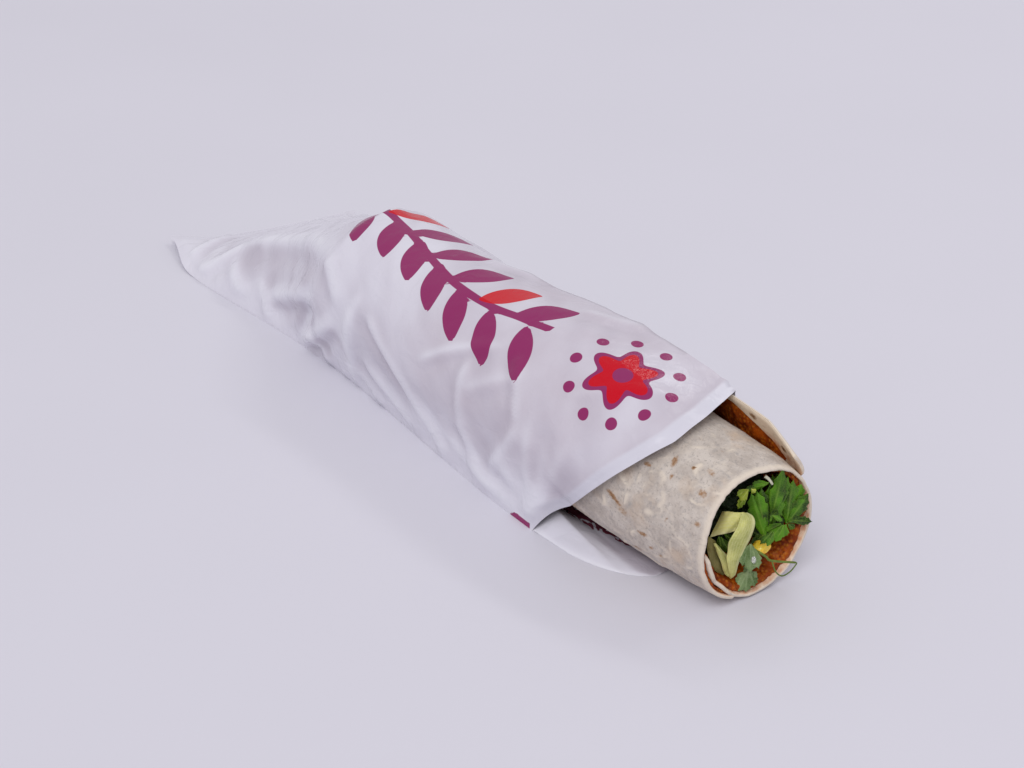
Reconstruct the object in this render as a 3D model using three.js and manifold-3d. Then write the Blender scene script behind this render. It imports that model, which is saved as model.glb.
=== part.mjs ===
// A rolled flatbread wrap spread with kofte paste and filled with salad, half pulled
// out of the thin plastic bag it was packed in. Millimetres, +Z up, +X along the roll
// towards its open end, +Y to the side away from the bag's slit edge.
import * as THREE from 'three';
import { mergeVertices } from 'three/addons/utils/BufferGeometryUtils.js';
import Module from 'manifold-3d';

// Where the middle of the whole part's footprint lies in the measuring frame.
const CENTRE_X = 0;
const CENTRE_Y = 15.8;

// Roll: a flat bread spread with paste and wound about an axis along X.
const AXIS_Y = -2;
const REAR_X = -36;
const MOUTH_X = 195;
const MOUTH_FAR = 1.5;
const MOUTH_NEAR = 1.0;
const MOUTH_TOP = 4.2;
const MOUTH_UNDER = 1.1;
const MOUTH_CORNER = 1;
const OUTER_RECESS = 11;
const FLARE = 3.1;
const FLARE_X = 187;
const INNER_CORNER = 12.5;
const MOUTH_R = 26.5;
const BODY_R = 33.3;
const REAR_SWELL = 0.8;
const TAPER_LENGTH = 100;
const SQUASH = 0.955;
const BED_Z = 1.1;
const FLAP_ANGLE = 57;
const WIND_ANGLE = 600;
const WIND_STEP = 10;
const BREAD = 1.6;
const KOFTE = 2.0;
const KOFTE_BETWEEN = 0.9;
const GAP = 0.35;

// The outer flap stands away from the roll between the open end and the bag.
const FLAP_LIFT = 7.6;

// Near its open end the roll is not quite round: it is fuller under the flap and at its
// near foot, and the bare bread under the flap's corner presses against the flap.
const FLAP_BULGE = 3.4;
const FLAP_BULGE_BAG = 1.0;
const FLAP_BULGE_AT = 46;
const FOOT_BULGE = 2.0;
const FOOT_BULGE_AT = 226;
const PINCH = 1.0;

// Paste: starts behind the bare margin of the flap and stays behind the bread's edges.
const KOFTE_FIRST = 10;
const KOFTE_FIRST_MOUTH = 34;
const KOFTE_LAST = 590;
const KOFTE_REAR = 7;
const KOFTE_INSET = 1.6;
const KOFTE_INSET_TOP = 4.2;

// Bag: film far thinner than a solid can be, so its wall is given a workable thickness.
const FILM = 0.6;
const FILM_CLEAR = 0.6;
const TUBE_SLACK = 1.5;
const SEAL_X = -184;
const SEAL_SKEW = 20;
const SEAL_BAND = 9;
const FOLD_MARGIN = 2.6;
const NEAR_FOLD_Y = -30;
const FAR_FOLD_Y = 35;
const FAR_SEAL_Y = 72;
const SLIT_X = 115;
const TOP_EDGE_X = 166;
const TONGUE_X = 166;
const FAR_CORNER_X = 140;
const TAIL_FROM = -37.5;
const TAIL_TO = -125;
const TAIL_H = 66;
const TIP_RISE = 4;
const UPPER_COUNT = 28;
const LOWER_COUNT = 10;
const FLAP_V = 17 / UPPER_COUNT;

const rad = (degrees) => degrees * Math.PI / 180;
const deg = (radians) => radians * 180 / Math.PI;
const clamp = (v) => Math.min(1, Math.max(0, v));
const mix = (a, b, s) => a + (b - a) * s;
const ease = (a, b, v) => {
  const s = clamp((v - a) / (b - a));
  return s * s * (3 - 2 * s);
};

// Radius of the roll's outer face at the free flap, along the roll.
function flapRadius(x) {
  const s = clamp((MOUTH_X - x) / TAPER_LENGTH);
  return MOUTH_R + (BODY_R - MOUTH_R) * (1 - (1 - s) ** 1.5) + REAR_SWELL * ease(20, REAR_X, x);
}

// How far the flap's free edge stands off the turn beneath it.
function flapLift(x) {
  return FLAP_LIFT * clamp((203 - x) / 26) ** 0.7 * ease(-10, 150, x);
}

// Reach of a tight skin round a disc of radius r and one point outside it.
function skin(angle, r, reach, at) {
  const spread = deg(Math.acos(clamp(r / reach)));
  const off = Math.abs(((angle - at + 540) % 360) - 180);
  return off >= spread ? r : r / Math.cos(rad(spread - off));
}

// Depth of the paste at wind angle t: pressed thin between the turns of the bread.
function pasteDepth(t) {
  return mix(KOFTE_BETWEEN, KOFTE, ease(235, 300, t));
}

// From one turn's outer face to the outer face of the next turn inside it.
function turnDepth(t) {
  return BREAD + pasteDepth(t) + 2 * GAP;
}

// Outer face of the evenly wound bread at wind angle t from the free edge of the flap.
function woundRadius(t, x) {
  if (t > 360) return woundRadius(t - 360, x) - turnDepth(t - 360);
  return flapRadius(x) - turnDepth(0) * t / 360;
}

// What the roll's shape near its open end adds to the even winding.
function bulge(t, x) {
  const off = (at) => ((FLAP_ANGLE - t - at + 1260) % 360) - 180;
  const flap = mix(FLAP_BULGE_BAG, FLAP_BULGE, ease(150, 182, x)) * ease(110, 150, x);
  const foot = FOOT_BULGE * ease(80, 140, x) * (1 - 0.55 * ease(170, 196, x));
  const pinch = PINCH * ease(325, 355, t) * ease(392, 380, t) * ease(172, 188, x);
  const under = flap * Math.exp(-((off(FLAP_BULGE_AT) / 20) ** 2));
  return under + foot * Math.exp(-((off(FOOT_BULGE_AT) / 25) ** 2)) + pinch;
}

// How far the inner turn spreads beyond the front edge of the turn that lies round it.
function flare(t, x) {
  return FLARE * ease(372, 396, t) * ease(542, 508, t) * Math.max(0, (x - FLARE_X) / (MOUTH_X - FLARE_X));
}

// Outer face of the bread, with the flap leaving the roll along a tangent.
function windRadius(t, x) {
  const wound = woundRadius(t, x);
  const even = t < 90 ? skin(-t, wound, flapRadius(x) + flapLift(x), 0) : wound;
  return even + bulge(t, x) + flare(t, x);
}

// Height of the axis: the turn that lies underneath rests just above the bag's floor.
function axisHeight(x) {
  return BED_Z + SQUASH * woundRadius(FLAP_ANGLE + 90, x);
}

// A point of the roll at wind angle t and depth below the bread's outer face.
function rollPoint(t, x, depth) {
  const r = windRadius(t, x) - depth;
  const a = rad(FLAP_ANGLE - t);
  return [x, AXIS_Y + r * Math.cos(a), axisHeight(x) + SQUASH * r * Math.sin(a)];
}

// Front edge of the bread: set back over the top and longest at the far side. The outer
// turn lies further in from the flap's corner round to the near foot, where the inner turn
// spreads in front of it, and the inner turn rounds off towards its end.
function mouthX(t) {
  const c = Math.cos(rad(FLAP_ANGLE - t));
  const s = Math.sin(rad(FLAP_ANGLE - t));
  const slant = (c > 0 ? MOUTH_FAR : MOUTH_NEAR) * c + (s > 0 ? -MOUTH_TOP : MOUTH_UNDER) * s * s;
  const recess = OUTER_RECESS * ease(14, 40, t) * ease(186, 160, t);
  const end = INNER_CORNER * ease(568, WIND_ANGLE, t) ** 1.5;
  return MOUTH_X + slant + MOUTH_CORNER * ease(55, 0, t) - recess - end;
}

// Stations along the roll, shared by its layers, ending at the given front edge.
const ROLL_STATIONS = 11;
const LAST_STATION = 181;
function rollStation(j, rear, front) {
  if (j === ROLL_STATIONS) return front;
  if (j === ROLL_STATIONS - 1) return Math.min(FLARE_X, mix(LAST_STATION, front, 0.5));
  return Math.max(rear, mix(REAR_X, LAST_STATION, 1 - (1 - j / (ROLL_STATIONS - 2)) ** 1.5));
}

// A closed solid between two point grids of like size, rows by columns.
function sheetSolid(outer, inner, rows, cols) {
  const positions = [];
  for (const point of [...outer, ...inner]) positions.push(...point);
  const index = [];
  const side = (rows + 1) * (cols + 1);
  const at = (i, j) => i * (cols + 1) + j;
  const quad = (a, b, c, d) => index.push(a, b, c, a, c, d);
  for (let i = 0; i < rows; i += 1) {
    for (let j = 0; j < cols; j += 1) {
      quad(at(i, j), at(i + 1, j), at(i + 1, j + 1), at(i, j + 1));
      quad(side + at(i, j), side + at(i, j + 1), side + at(i + 1, j + 1), side + at(i + 1, j));
    }
  }
  for (let i = 0; i < rows; i += 1) {
    quad(at(i, 0), side + at(i, 0), side + at(i + 1, 0), at(i + 1, 0));
    quad(at(i, cols), at(i + 1, cols), side + at(i + 1, cols), side + at(i, cols));
  }
  for (let j = 0; j < cols; j += 1) {
    quad(at(0, j), at(0, j + 1), side + at(0, j + 1), side + at(0, j));
    quad(at(rows, j), side + at(rows, j), side + at(rows, j + 1), at(rows, j + 1));
  }
  return finish(positions, index);
}

// A closed solid from rings of like size, with a fan over each end.
function ringSolid(rings) {
  const n = rings[0].length;
  const positions = [];
  for (const ring of rings) for (const point of ring) positions.push(...point);
  const index = [];
  for (let i = 0; i + 1 < rings.length; i += 1) {
    for (let j = 0; j < n; j += 1) {
      const k = (j + 1) % n;
      const a = i * n;
      const b = (i + 1) * n;
      index.push(a + j, a + k, b + k, a + j, b + k, b + j);
    }
  }
  for (const [ring, flip] of [[0, true], [rings.length - 1, false]]) {
    const middle = [0, 1, 2].map((c) => rings[ring].reduce((sum, p) => sum + p[c], 0) / n);
    const hub = positions.length / 3;
    positions.push(...middle);
    for (let j = 0; j < n; j += 1) {
      const k = (j + 1) % n;
      const a = ring * n;
      index.push(hub, a + (flip ? k : j), a + (flip ? j : k));
    }
  }
  return finish(positions, index);
}

// Merges shared points and turns the faces outwards.
function finish(positions, index) {
  const raw = new THREE.BufferGeometry();
  raw.setAttribute('position', new THREE.Float32BufferAttribute(positions, 3));
  raw.setIndex(index);
  const merged = mergeVertices(raw, 1e-3);
  if (volume(merged) < 0) {
    const flipped = Array.from(merged.index.array);
    for (let i = 0; i < flipped.length; i += 3) {
      [flipped[i], flipped[i + 1]] = [flipped[i + 1], flipped[i]];
    }
    merged.setIndex(flipped);
  }
  return merged;
}

function volume(geometry) {
  const p = geometry.getAttribute('position');
  const ids = geometry.index.array;
  const [a, b, c] = [new THREE.Vector3(), new THREE.Vector3(), new THREE.Vector3()];
  let sum = 0;
  for (let i = 0; i < ids.length; i += 3) {
    a.fromBufferAttribute(p, ids[i]);
    b.fromBufferAttribute(p, ids[i + 1]);
    c.fromBufferAttribute(p, ids[i + 2]);
    sum += a.dot(b.cross(c)) / 6;
  }
  return sum;
}

// Flatbread: one sheet wound from the free flap inwards.
function flatbreadGeometry() {
  const rows = WIND_ANGLE / WIND_STEP;
  const cols = ROLL_STATIONS;
  const faces = [0, BREAD].map((depth) => {
    const grid = [];
    for (let i = 0; i <= rows; i += 1) {
      for (let j = 0; j <= cols; j += 1) {
        const t = i * WIND_STEP;
        grid.push(rollPoint(t, rollStation(j, REAR_X, mouthX(t)), depth));
      }
    }
    return grid;
  });
  return sheetSolid(faces[0], faces[1], rows, cols);
}

// Kofte: a layer of paste on the bread's inner face, wound with it. It starts further from
// the flap's free edge towards the open end.
function kofteGeometry() {
  const full = 3;
  const rows = (KOFTE_LAST - KOFTE_FIRST) / WIND_STEP;
  const cols = ROLL_STATIONS;
  const faces = [0, 1].map((share) => {
    const grid = [];
    for (let i = 0; i <= rows; i += 1) {
      for (let j = 0; j <= cols; j += 1) {
        const t = KOFTE_FIRST + i * WIND_STEP;
        const inset = mix(KOFTE_INSET, KOFTE_INSET_TOP, ease(150, 200, t) * ease(420, 350, t));
        const bared = i < full ? mix(KOFTE_FIRST_MOUTH, KOFTE_FIRST + full * WIND_STEP, i / full) : t;
        const x = rollStation(j, REAR_X + KOFTE_REAR, mouthX(bared) - inset);
        const first = mix(KOFTE_FIRST, KOFTE_FIRST_MOUTH, ease(160, 176, x));
        const angle = i < full ? mix(first, KOFTE_FIRST + full * WIND_STEP, i / full) : t;
        grid.push(rollPoint(angle, x, BREAD + GAP + share * pasteDepth(t)));
      }
    }
    return grid;
  });
  return sheetSolid(faces[0], faces[1], rows, cols);
}

// Salad: a core that fills the roll, with the leaves, ribbon and stalk at its front.
const CORE_FRONT = 182;
const CORE_REAR = REAR_X + 5;

// Room inside the winding at angle a, taken over a step to each side.
function coreRadius(a, x) {
  let room = Infinity;
  for (const turn of [-WIND_STEP, 0, WIND_STEP]) {
    const past = FLAP_ANGLE - (WIND_ANGLE - 360) - (a + turn);
    const t = WIND_ANGLE - 360 + ((past % 360) + 360) % 360;
    room = Math.min(room, windRadius(t, x));
  }
  return room - BREAD - KOFTE - 2 * GAP - 0.3;
}

function coreGeometry() {
  const rings = [];
  const stations = 6;
  for (let i = 0; i <= stations; i += 1) {
    const x = mix(CORE_REAR, CORE_FRONT, 1 - (1 - i / stations) ** 1.6);
    const ring = [];
    for (let a = 5; a < 365; a += 15) {
      const r = coreRadius(a, x) * (i === stations ? 0.82 : 1);
      ring.push([x, AXIS_Y + r * Math.cos(rad(a)), axisHeight(x) + SQUASH * r * Math.sin(rad(a))]);
    }
    rings.push(ring);
  }
  return ringSolid(rings);
}

const vec = (x, y, z) => new THREE.Vector3(x, y, z);

// A leaf blade: a thin waved solid along a middle rib, with lobes down both sides.
function leafGeometry({ base, tip, face, width, lobes, curl, wave, thick, neck = 0.35 }) {
  const rows = 10;
  const cols = 4;
  const along = vec().subVectors(tip, base);
  const up = face.clone().addScaledVector(along, -face.dot(along) / along.lengthSq()).normalize();
  const across = vec().crossVectors(up, along).normalize();
  const sides = [0.5, -0.5].map((half) => {
    const grid = [];
    for (let i = 0; i <= rows; i += 1) {
      const u = i / rows;
      const body = Math.sin(Math.PI * clamp(u * 0.9 + 0.1) ** 1.3);
      const lobe = 1 - 0.42 * Math.abs(Math.cos(Math.PI * lobes * u)) ** 3;
      const w = 0.5 * (neck + (width - neck) * body * lobe);
      for (let j = 0; j <= cols; j += 1) {
        const v = 2 * j / cols - 1;
        const lift = curl * (u - u * u) * 4 + wave * Math.sin(5 * u + 2.2 * v) * Math.abs(v);
        const p = base.clone().addScaledVector(along, u + 0.1 * Math.abs(v) * Math.sin(Math.PI * u));
        p.addScaledVector(across, w * v).addScaledVector(up, lift + half * thick);
        grid.push(p.toArray());
      }
    }
    return grid;
  });
  return sheetSolid(sides[0], sides[1], rows, cols);
}

// A ribbon of leaf: a strip carried along a smooth path, its face turned one way.
function ribbonGeometry({ path: points, width, thick, face }) {
  const path = new THREE.CatmullRomCurve3(points);
  const rows = 22;
  const cols = 2;
  const sides = [0.5, -0.5].map((half) => {
    const grid = [];
    for (let i = 0; i <= rows; i += 1) {
      const u = i / rows;
      const p = path.getPoint(u);
      const run = path.getTangent(u);
      const across = vec().crossVectors(face, run).normalize();
      const normal = vec().crossVectors(run, across).normalize();
      const w = width * (1 - 0.55 * ease(0.8, 1, u) - 0.25 * ease(0.2, 0, u));
      for (let j = 0; j <= cols; j += 1) {
        const v = 2 * j / cols - 1;
        const q = p.clone().addScaledVector(across, 0.5 * w * v);
        q.addScaledVector(normal, half * thick + 0.5 * Math.abs(v) * Math.sin(9 * u));
        grid.push(q.toArray());
      }
    }
    return grid;
  });
  return sheetSolid(sides[0], sides[1], rows, cols);
}

// A stalk: a round profile carried along a smooth path, thinner to its end.
function stalkGeometry(points, radius, endRadius, rows) {
  const path = new THREE.CatmullRomCurve3(points);
  const frames = path.computeFrenetFrames(rows);
  const rings = [];
  for (let i = 0; i <= rows; i += 1) {
    const p = path.getPoint(i / rows);
    const r = mix(radius, endRadius, i / rows);
    const ring = [];
    for (let k = 0; k < 6; k += 1) {
      const a = rad(60 * k);
      const q = p.clone().addScaledVector(frames.normals[i], r * Math.cos(a));
      ring.push(q.addScaledVector(frames.binormals[i], r * Math.sin(a)).toArray());
    }
    rings.push(ring);
  }
  return ringSolid(rings);
}

const wasm = await Module();
wasm.setup();

function toSolid(geometry) {
  const vertProperties = new Float32Array(geometry.getAttribute('position').array);
  const triVerts = new Uint32Array(geometry.index.array);
  return new wasm.Manifold(new wasm.Mesh({ numProp: 3, vertProperties, triVerts }));
}

// Joins closed pieces into one body and fills any pocket shut in between them.
function fuse(geometries) {
  let whole = toSolid(geometries[0]);
  for (const geometry of geometries.slice(1)) whole = whole.add(toSolid(geometry));
  const outside = whole.decompose().reduce((a, b) => (a.volume() > b.volume() ? a : b));
  const mesh = outside.getMesh();
  return finish(Array.from(mesh.vertProperties), Array.from(mesh.triVerts));
}

// Direction from which the open end is seen: the leaves lie open towards it.
const OPEN = vec(0.70, -0.53, 0.48);

function saladGeometry() {
  const parsley = { face: OPEN, lobes: 3, thick: 0.7, wave: 0.9 };
  const lettuce = { face: OPEN, width: 6.6, thick: 0.8 };
  return fuse([
    coreGeometry(),
    leafGeometry({ ...parsley, base: vec(179, 3, 20), tip: vec(193.8, 9.8, 42.4), width: 15, curl: 2.2 }),
    leafGeometry({ ...parsley, base: vec(179, 4, 22), tip: vec(195.4, 16, 37.6), width: 12, curl: 2 }),
    leafGeometry({ ...parsley, base: vec(179, 3, 22), tip: vec(200.6, 18.8, 26.6), width: 12, curl: 2 }),
    leafGeometry({ ...parsley, base: vec(179, -4, 24), tip: vec(189.8, -0.8, 42.6), width: 11, curl: 1 }),
    leafGeometry({ ...parsley, base: vec(179, 2, 24), tip: vec(198, 12.4, 21.8), width: 9, curl: 1.4 }),
    leafGeometry({ ...parsley, base: vec(180, -1, 19), tip: vec(200, -6.4, 8.6), width: 9, curl: 4.4,
      wave: 0.5 }),
    ribbonGeometry({ ...lettuce, path: [vec(180, -12, 27), vec(188.5, -15.6, 30.4), vec(191, -12.6, 32.8),
      vec(193, -9.2, 33.2), vec(194, -6.6, 30.2), vec(193.6, -6.6, 25), vec(193, -7.6, 19.8),
      vec(191.8, -8.6, 15), vec(191, -8.8, 12)] }),
    ribbonGeometry({ ...lettuce, width: 5.4, path: [vec(180, -9, 24), vec(187, -13.6, 25),
      vec(190, -12.6, 19), vec(190.4, -10.6, 14.4)] }),
    stalkGeometry([vec(180, -2, 18), vec(190, -2.6, 19.6), vec(195, -2.3, 19.8), vec(198, 0.5, 17.5),
      vec(200, 1.8, 16.1), vec(203, 11.9, 12.7)], 0.9, 0.7, 12),
    stalkGeometry([vec(200, 1.9, 16), vec(201.5, 2.7, 11.9), vec(202.8, 4.8, 9.9), vec(203.5, 8.1, 10.8),
      vec(203, 11.8, 12.6)], 0.5, 0.45, 10),
  ]);
}

// Sweetcorn: one kernel, blunt at the crown and narrower where it grew on the cob.
function kernelGeometry() {
  const middle = vec(193, 3.7, 17.2);
  const rings = [];
  const rows = 8;
  for (let i = 0; i <= rows; i += 1) {
    const u = i / rows;
    const r = 3.5 * Math.sqrt(Math.max(0.02, 1 - Math.abs(2 * u - 1) ** 2.6)) * mix(0.85, 1.05, u);
    const ring = [];
    for (let k = 0; k < 10; k += 1) {
      const a = rad(36 * k);
      ring.push([middle.x - 3.4 + 6.0 * u, middle.y + r * Math.cos(a), middle.z + 0.62 * r * Math.sin(a)]);
    }
    rings.push(ring);
  }
  return ringSolid(rings);
}

// Bag: lay-flat film tube sealed across its rear end, slit open along its near fold.
function nearFold(x) {
  const rear = 5.5 * ease(-60, -165, x) - 10 * ease(-165, -205, x);
  return NEAR_FOLD_Y - 9 * ease(-50, SLIT_X, x) - rear;
}

function farFold(x) {
  return mix(FAR_SEAL_Y, FAR_FOLD_Y, clamp((x - SEAL_X) / (TAIL_FROM - SEAL_X)) ** 0.85);
}

// The film tube's radius about the roll's axis where it is drawn tight over the roll.
function tubeRadius(x) {
  return flapRadius(Math.max(x, REAR_X)) + TUBE_SLACK + FILM_CLEAR;
}

// Upper film at x: v runs from the near fold over the roll to the far fold.
function upperFilm(x, v, inset) {
  const near = nearFold(x) + 12 * ease(SLIT_X, SLIT_X + 14, x) + (inset > 0 ? FOLD_MARGIN : 0);
  const far = farFold(x) - (inset > 0 ? FOLD_MARGIN : 0);
  const rear = rearEdge(v);
  const fullness = clamp((x - rear) / (TAIL_FROM - rear));
  const axis = axisHeight(Math.max(x, REAR_X)) * fullness;
  const r = Math.max(1, (tubeRadius(x) + FILM) * fullness - inset);
  const drop = (axis - inset) / SQUASH;
  const nearAngle = 180 + deg(Math.atan2(drop, AXIS_Y - near));
  const farAngle = -deg(Math.atan2(drop, far - AXIS_Y));
  const a = v < FLAP_V ? mix(nearAngle, FLAP_ANGLE, v / FLAP_V)
    : mix(FLAP_ANGLE, farAngle, (v - FLAP_V) / (1 - FLAP_V));
  const flapReach = (windRadius(0, Math.max(x, REAR_X)) + 0.9 + FILM_CLEAR + FILM) * fullness - inset;
  const reach = Math.max(
    skin(a, r, Math.hypot(AXIS_Y - near, drop), nearAngle),
    skin(a, r, Math.hypot(far - AXIS_Y, drop), farAngle),
    skin(a, r, Math.max(r, flapReach), FLAP_ANGLE),
  );
  const tight = [AXIS_Y + reach * Math.cos(rad(a)), axis + SQUASH * reach * Math.sin(rad(a))];
  const rise = Math.max(0, TAIL_H * fullness - 2 * inset) * Math.sin(Math.PI * v) ** 0.9;
  const across = mix(v, 0.5 - 0.5 * Math.cos(Math.PI * v), 0.75 * fullness);
  const loose = [mix(near, far, across), 2 * FILM - inset + rise];
  const w = ease(TAIL_FROM, TAIL_TO, x);
  return [mix(tight[0], loose[0], w), mix(tight[1], loose[1], w)];
}

// The near corner of the sealed end curls up off the table.
function tipRise(x, y) {
  return TIP_RISE * ease(SEAL_X + 30, SEAL_X - SEAL_SKEW, x) * ease(2, -30, y);
}

// Rear edge of the film, skewed: furthest back at the near corner.
function rearEdge(v) {
  return SEAL_X - SEAL_SKEW * (1 - v) ** 2;
}

// Front edge of the film: slit back to the near fold, forward over the roll and under it.
function upperEdge(v) {
  const slit = (TOP_EDGE_X - SLIT_X) * (1 - Math.max(0, 1 - v / 0.4) ** 1.35);
  return SLIT_X + slit - (TOP_EDGE_X - FAR_CORNER_X) * ease(0.4, 1, v);
}

function lowerEdge(v) {
  const slit = (TONGUE_X - SLIT_X) * (1 - Math.sqrt(clamp((1 - v) / 0.16))) ** 2;
  return mix(FAR_CORNER_X, TONGUE_X, ease(0, 0.3, v)) - slit;
}

// Stations of the film: an even run along the empty tail, then one along the roll.
const TAIL_STATIONS = 7;
const ROLL_RUN = 13;
function filmStation(i, rear, front) {
  if (i <= TAIL_STATIONS) return mix(rear, TAIL_FROM, i / TAIL_STATIONS);
  return mix(TAIL_FROM, front, (i - TAIL_STATIONS) / ROLL_RUN);
}

function bagGeometry() {
  const stations = TAIL_STATIONS + ROLL_RUN;
  const loop = (i, inset) => {
    const band = inset > 0 ? SEAL_BAND : 0;
    const margin = inset > 0 ? FOLD_MARGIN : 0;
    const ring = [];
    for (let j = 0; j < UPPER_COUNT; j += 1) {
      const v = j / UPPER_COUNT;
      const x = filmStation(i, rearEdge(v) + band, upperEdge(v));
      const [y, z] = upperFilm(x, v, inset);
      ring.push([x, y, z + tipRise(x, y)]);
    }
    for (let j = 0; j < LOWER_COUNT; j += 1) {
      const v = 1 - (1 - j / LOWER_COUNT) ** 2;
      const x = filmStation(i, rearEdge(1 - v) + band, lowerEdge(v));
      const near = nearFold(x) + 13 * clamp((x - SLIT_X) / 49);
      const y = mix(farFold(x) - margin, near + margin, v);
      ring.push([x, y, inset + tipRise(x, y)]);
    }
    return ring;
  };
  const rings = [];
  for (let i = 0; i <= stations; i += 1) rings.push(loop(i, 0));
  for (let i = stations; i >= 0; i -= 1) rings.push(loop(i, FILM));
  return ringSolid(rings);
}

function piece(name, geometry, color, roughness) {
  const shown = geometry.index ? geometry.toNonIndexed() : geometry;
  shown.computeVertexNormals();
  const material = new THREE.MeshStandardMaterial({ color, roughness, metalness: 0 });
  const mesh = new THREE.Mesh(shown, material);
  mesh.name = name;
  return mesh;
}

const wrap = new THREE.Group();
wrap.position.set(-CENTRE_X, -CENTRE_Y, 0);
wrap.add(piece('flatbread', flatbreadGeometry(), 0xd9cdbd, 0.75));
wrap.add(piece('kofte', kofteGeometry(), 0x8a3f1c, 0.5));
wrap.add(piece('salad', saladGeometry(), 0x4f8a34, 0.45));
wrap.add(piece('corn_kernel', kernelGeometry(), 0xf0bf2a, 0.35));
wrap.add(piece('bag', bagGeometry(), 0xe4dde2, 0.35));

export default wrap;
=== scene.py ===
import math

import bmesh
import bpy
import numpy as np
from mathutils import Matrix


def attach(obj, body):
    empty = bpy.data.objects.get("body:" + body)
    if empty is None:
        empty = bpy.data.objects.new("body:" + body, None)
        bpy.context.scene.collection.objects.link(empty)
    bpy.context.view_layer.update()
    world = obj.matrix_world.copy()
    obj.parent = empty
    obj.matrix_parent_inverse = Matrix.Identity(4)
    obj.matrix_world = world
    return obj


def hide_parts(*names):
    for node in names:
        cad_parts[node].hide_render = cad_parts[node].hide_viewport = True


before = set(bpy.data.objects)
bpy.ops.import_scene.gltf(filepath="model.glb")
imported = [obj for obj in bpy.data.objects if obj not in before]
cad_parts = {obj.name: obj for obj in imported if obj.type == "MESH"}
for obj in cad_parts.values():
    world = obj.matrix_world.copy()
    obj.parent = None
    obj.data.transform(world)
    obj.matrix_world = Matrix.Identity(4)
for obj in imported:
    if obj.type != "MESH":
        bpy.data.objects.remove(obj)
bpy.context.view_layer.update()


# Table and light: a matt pale table under a large soft lamp above the near side, with
# a narrow lamp behind and bright walls all round. The camera looks down along the roll.
TABLE_HALF, TABLE_COLOUR, CLOUD_COLOUR = 4.0, "d8d6df", "dcdae3"
# Lamps: name, place, length, width, watts.
LAMPS = [("soft_lamp", (2.3, -2.9, 5.5), 4.0, 4.0, 187.0),
         ("strip_lamp", (-0.3, 1.3, 1.5), 1.4, 0.15, 4.0)]
WALL_COLOUR, WALL_STRENGTH = "f3f1f8", 0.6
CAMERA_PLACE, CAMERA_LENS, CAMERA_FILM = (0.548, -0.3918, 0.36676), 61.12, 36
CAMERA_TURN = (math.radians(61.05), 0.0, math.radians(52.9))


def linear(hex_colour):
    """An sRGB hex colour as linear red, green, blue and full alpha."""
    s = np.array([int(hex_colour[i:i + 2], 16) for i in (0, 2, 4)]) / 255
    low = s / 12.92
    high = ((s + 0.055) / 1.055) ** 2.4
    return (*np.where(s <= 0.04045, low, high).tolist(), 1.0)


def feed(tree, node, inputs):
    """Gives a node's inputs their values, or links them to sockets."""
    for key, value in inputs.items():
        if isinstance(value, bpy.types.NodeSocket):
            tree.links.new(value, node.inputs[key])
        else:
            node.inputs[key].default_value = value


def add(tree, kind, inputs=None, out=0, **settings):
    """Adds one shader node with its settings and inputs, and gives one of its outputs."""
    made = tree.nodes.new("ShaderNode" + kind)
    for name, value in settings.items():
        setattr(made, name, value)
    feed(tree, made, inputs or {})
    return made.outputs[out]


def layered(tree, base, *layers):
    """Colours laid over a base one after the other. A layer has its colour and a mask, and it
    covers nothing where the mask is at low and its most where the mask is at high."""
    colour = linear(base)
    for cover, mask, low, high, most in layers:
        share = add(tree, "MapRange", {0: mask, 1: low, 2: high, 4: most})
        colour = add(tree, "Mix", {0: share, 6: colour, 7: linear(cover)}, 2, data_type="RGBA")
    return colour


def new_material(name):
    """A material, its nodes, its shader and the place on the piece in millimetres."""
    made = bpy.data.materials.new(name)
    made.use_nodes = True
    tree = made.node_tree
    place = add(tree, "TexCoord", out="Object")
    place_mm = add(tree, "VectorMath", {0: place, "Scale": 1000.0}, operation="SCALE")
    return made, tree, tree.nodes["Principled BSDF"], place_mm


def table_paint():
    """Matt painted board: even and pale, with a faint cloudiness."""
    made, tree, shader, mm = new_material("matt_painted_board")
    cloud = add(tree, "TexNoise", {"Vector": mm, "Scale": 1 / 180})
    colour = layered(tree, TABLE_COLOUR, (CLOUD_COLOUR, cloud, 0, 1, 1))
    feed(tree, shader, {"Base Color": colour, "Roughness": 0.6})
    return made


def put(name, data):
    """An object in the scene that shows a mesh, a lamp or a camera."""
    made = bpy.data.objects.new(name, data)
    bpy.context.collection.objects.link(made)
    return made


table_corners = [(x * TABLE_HALF, y * TABLE_HALF, 0) for x, y in ((-1, -1), (1, -1), (1, 1), (-1, 1))]
table_mesh = bpy.data.meshes.new("table")
table_mesh.from_pydata(table_corners, [], [(0, 1, 2, 3)])
table_mesh.materials.append(table_paint())
put("table", table_mesh)

for lamp_name, lamp_place, lamp_long, lamp_wide, lamp_watts in LAMPS:
    lamp_data = bpy.data.lights.new(lamp_name, "AREA")
    lamp_data.shape = "RECTANGLE"
    lamp_data.size, lamp_data.size_y = lamp_long, lamp_wide
    lamp_data.energy = lamp_watts
    lamp = put(lamp_name, lamp_data)
    lamp.location = lamp_place
    lamp.rotation_euler = (-lamp.location).to_track_quat("-Z", "Y").to_euler()

world = bpy.data.worlds.new("studio")
world.use_nodes = True
feed(world.node_tree, world.node_tree.nodes["Background"],
     {"Color": linear(WALL_COLOUR), "Strength": WALL_STRENGTH})
bpy.context.scene.world = world
bpy.context.scene.view_settings.view_transform = "Standard"

camera_data = bpy.data.cameras.new("camera")
camera_data.lens = CAMERA_LENS
camera_data.sensor_width = CAMERA_FILM
camera = put("camera", camera_data)
camera.location = CAMERA_PLACE
camera.rotation_euler = CAMERA_TURN
bpy.context.scene.camera = camera


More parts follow.
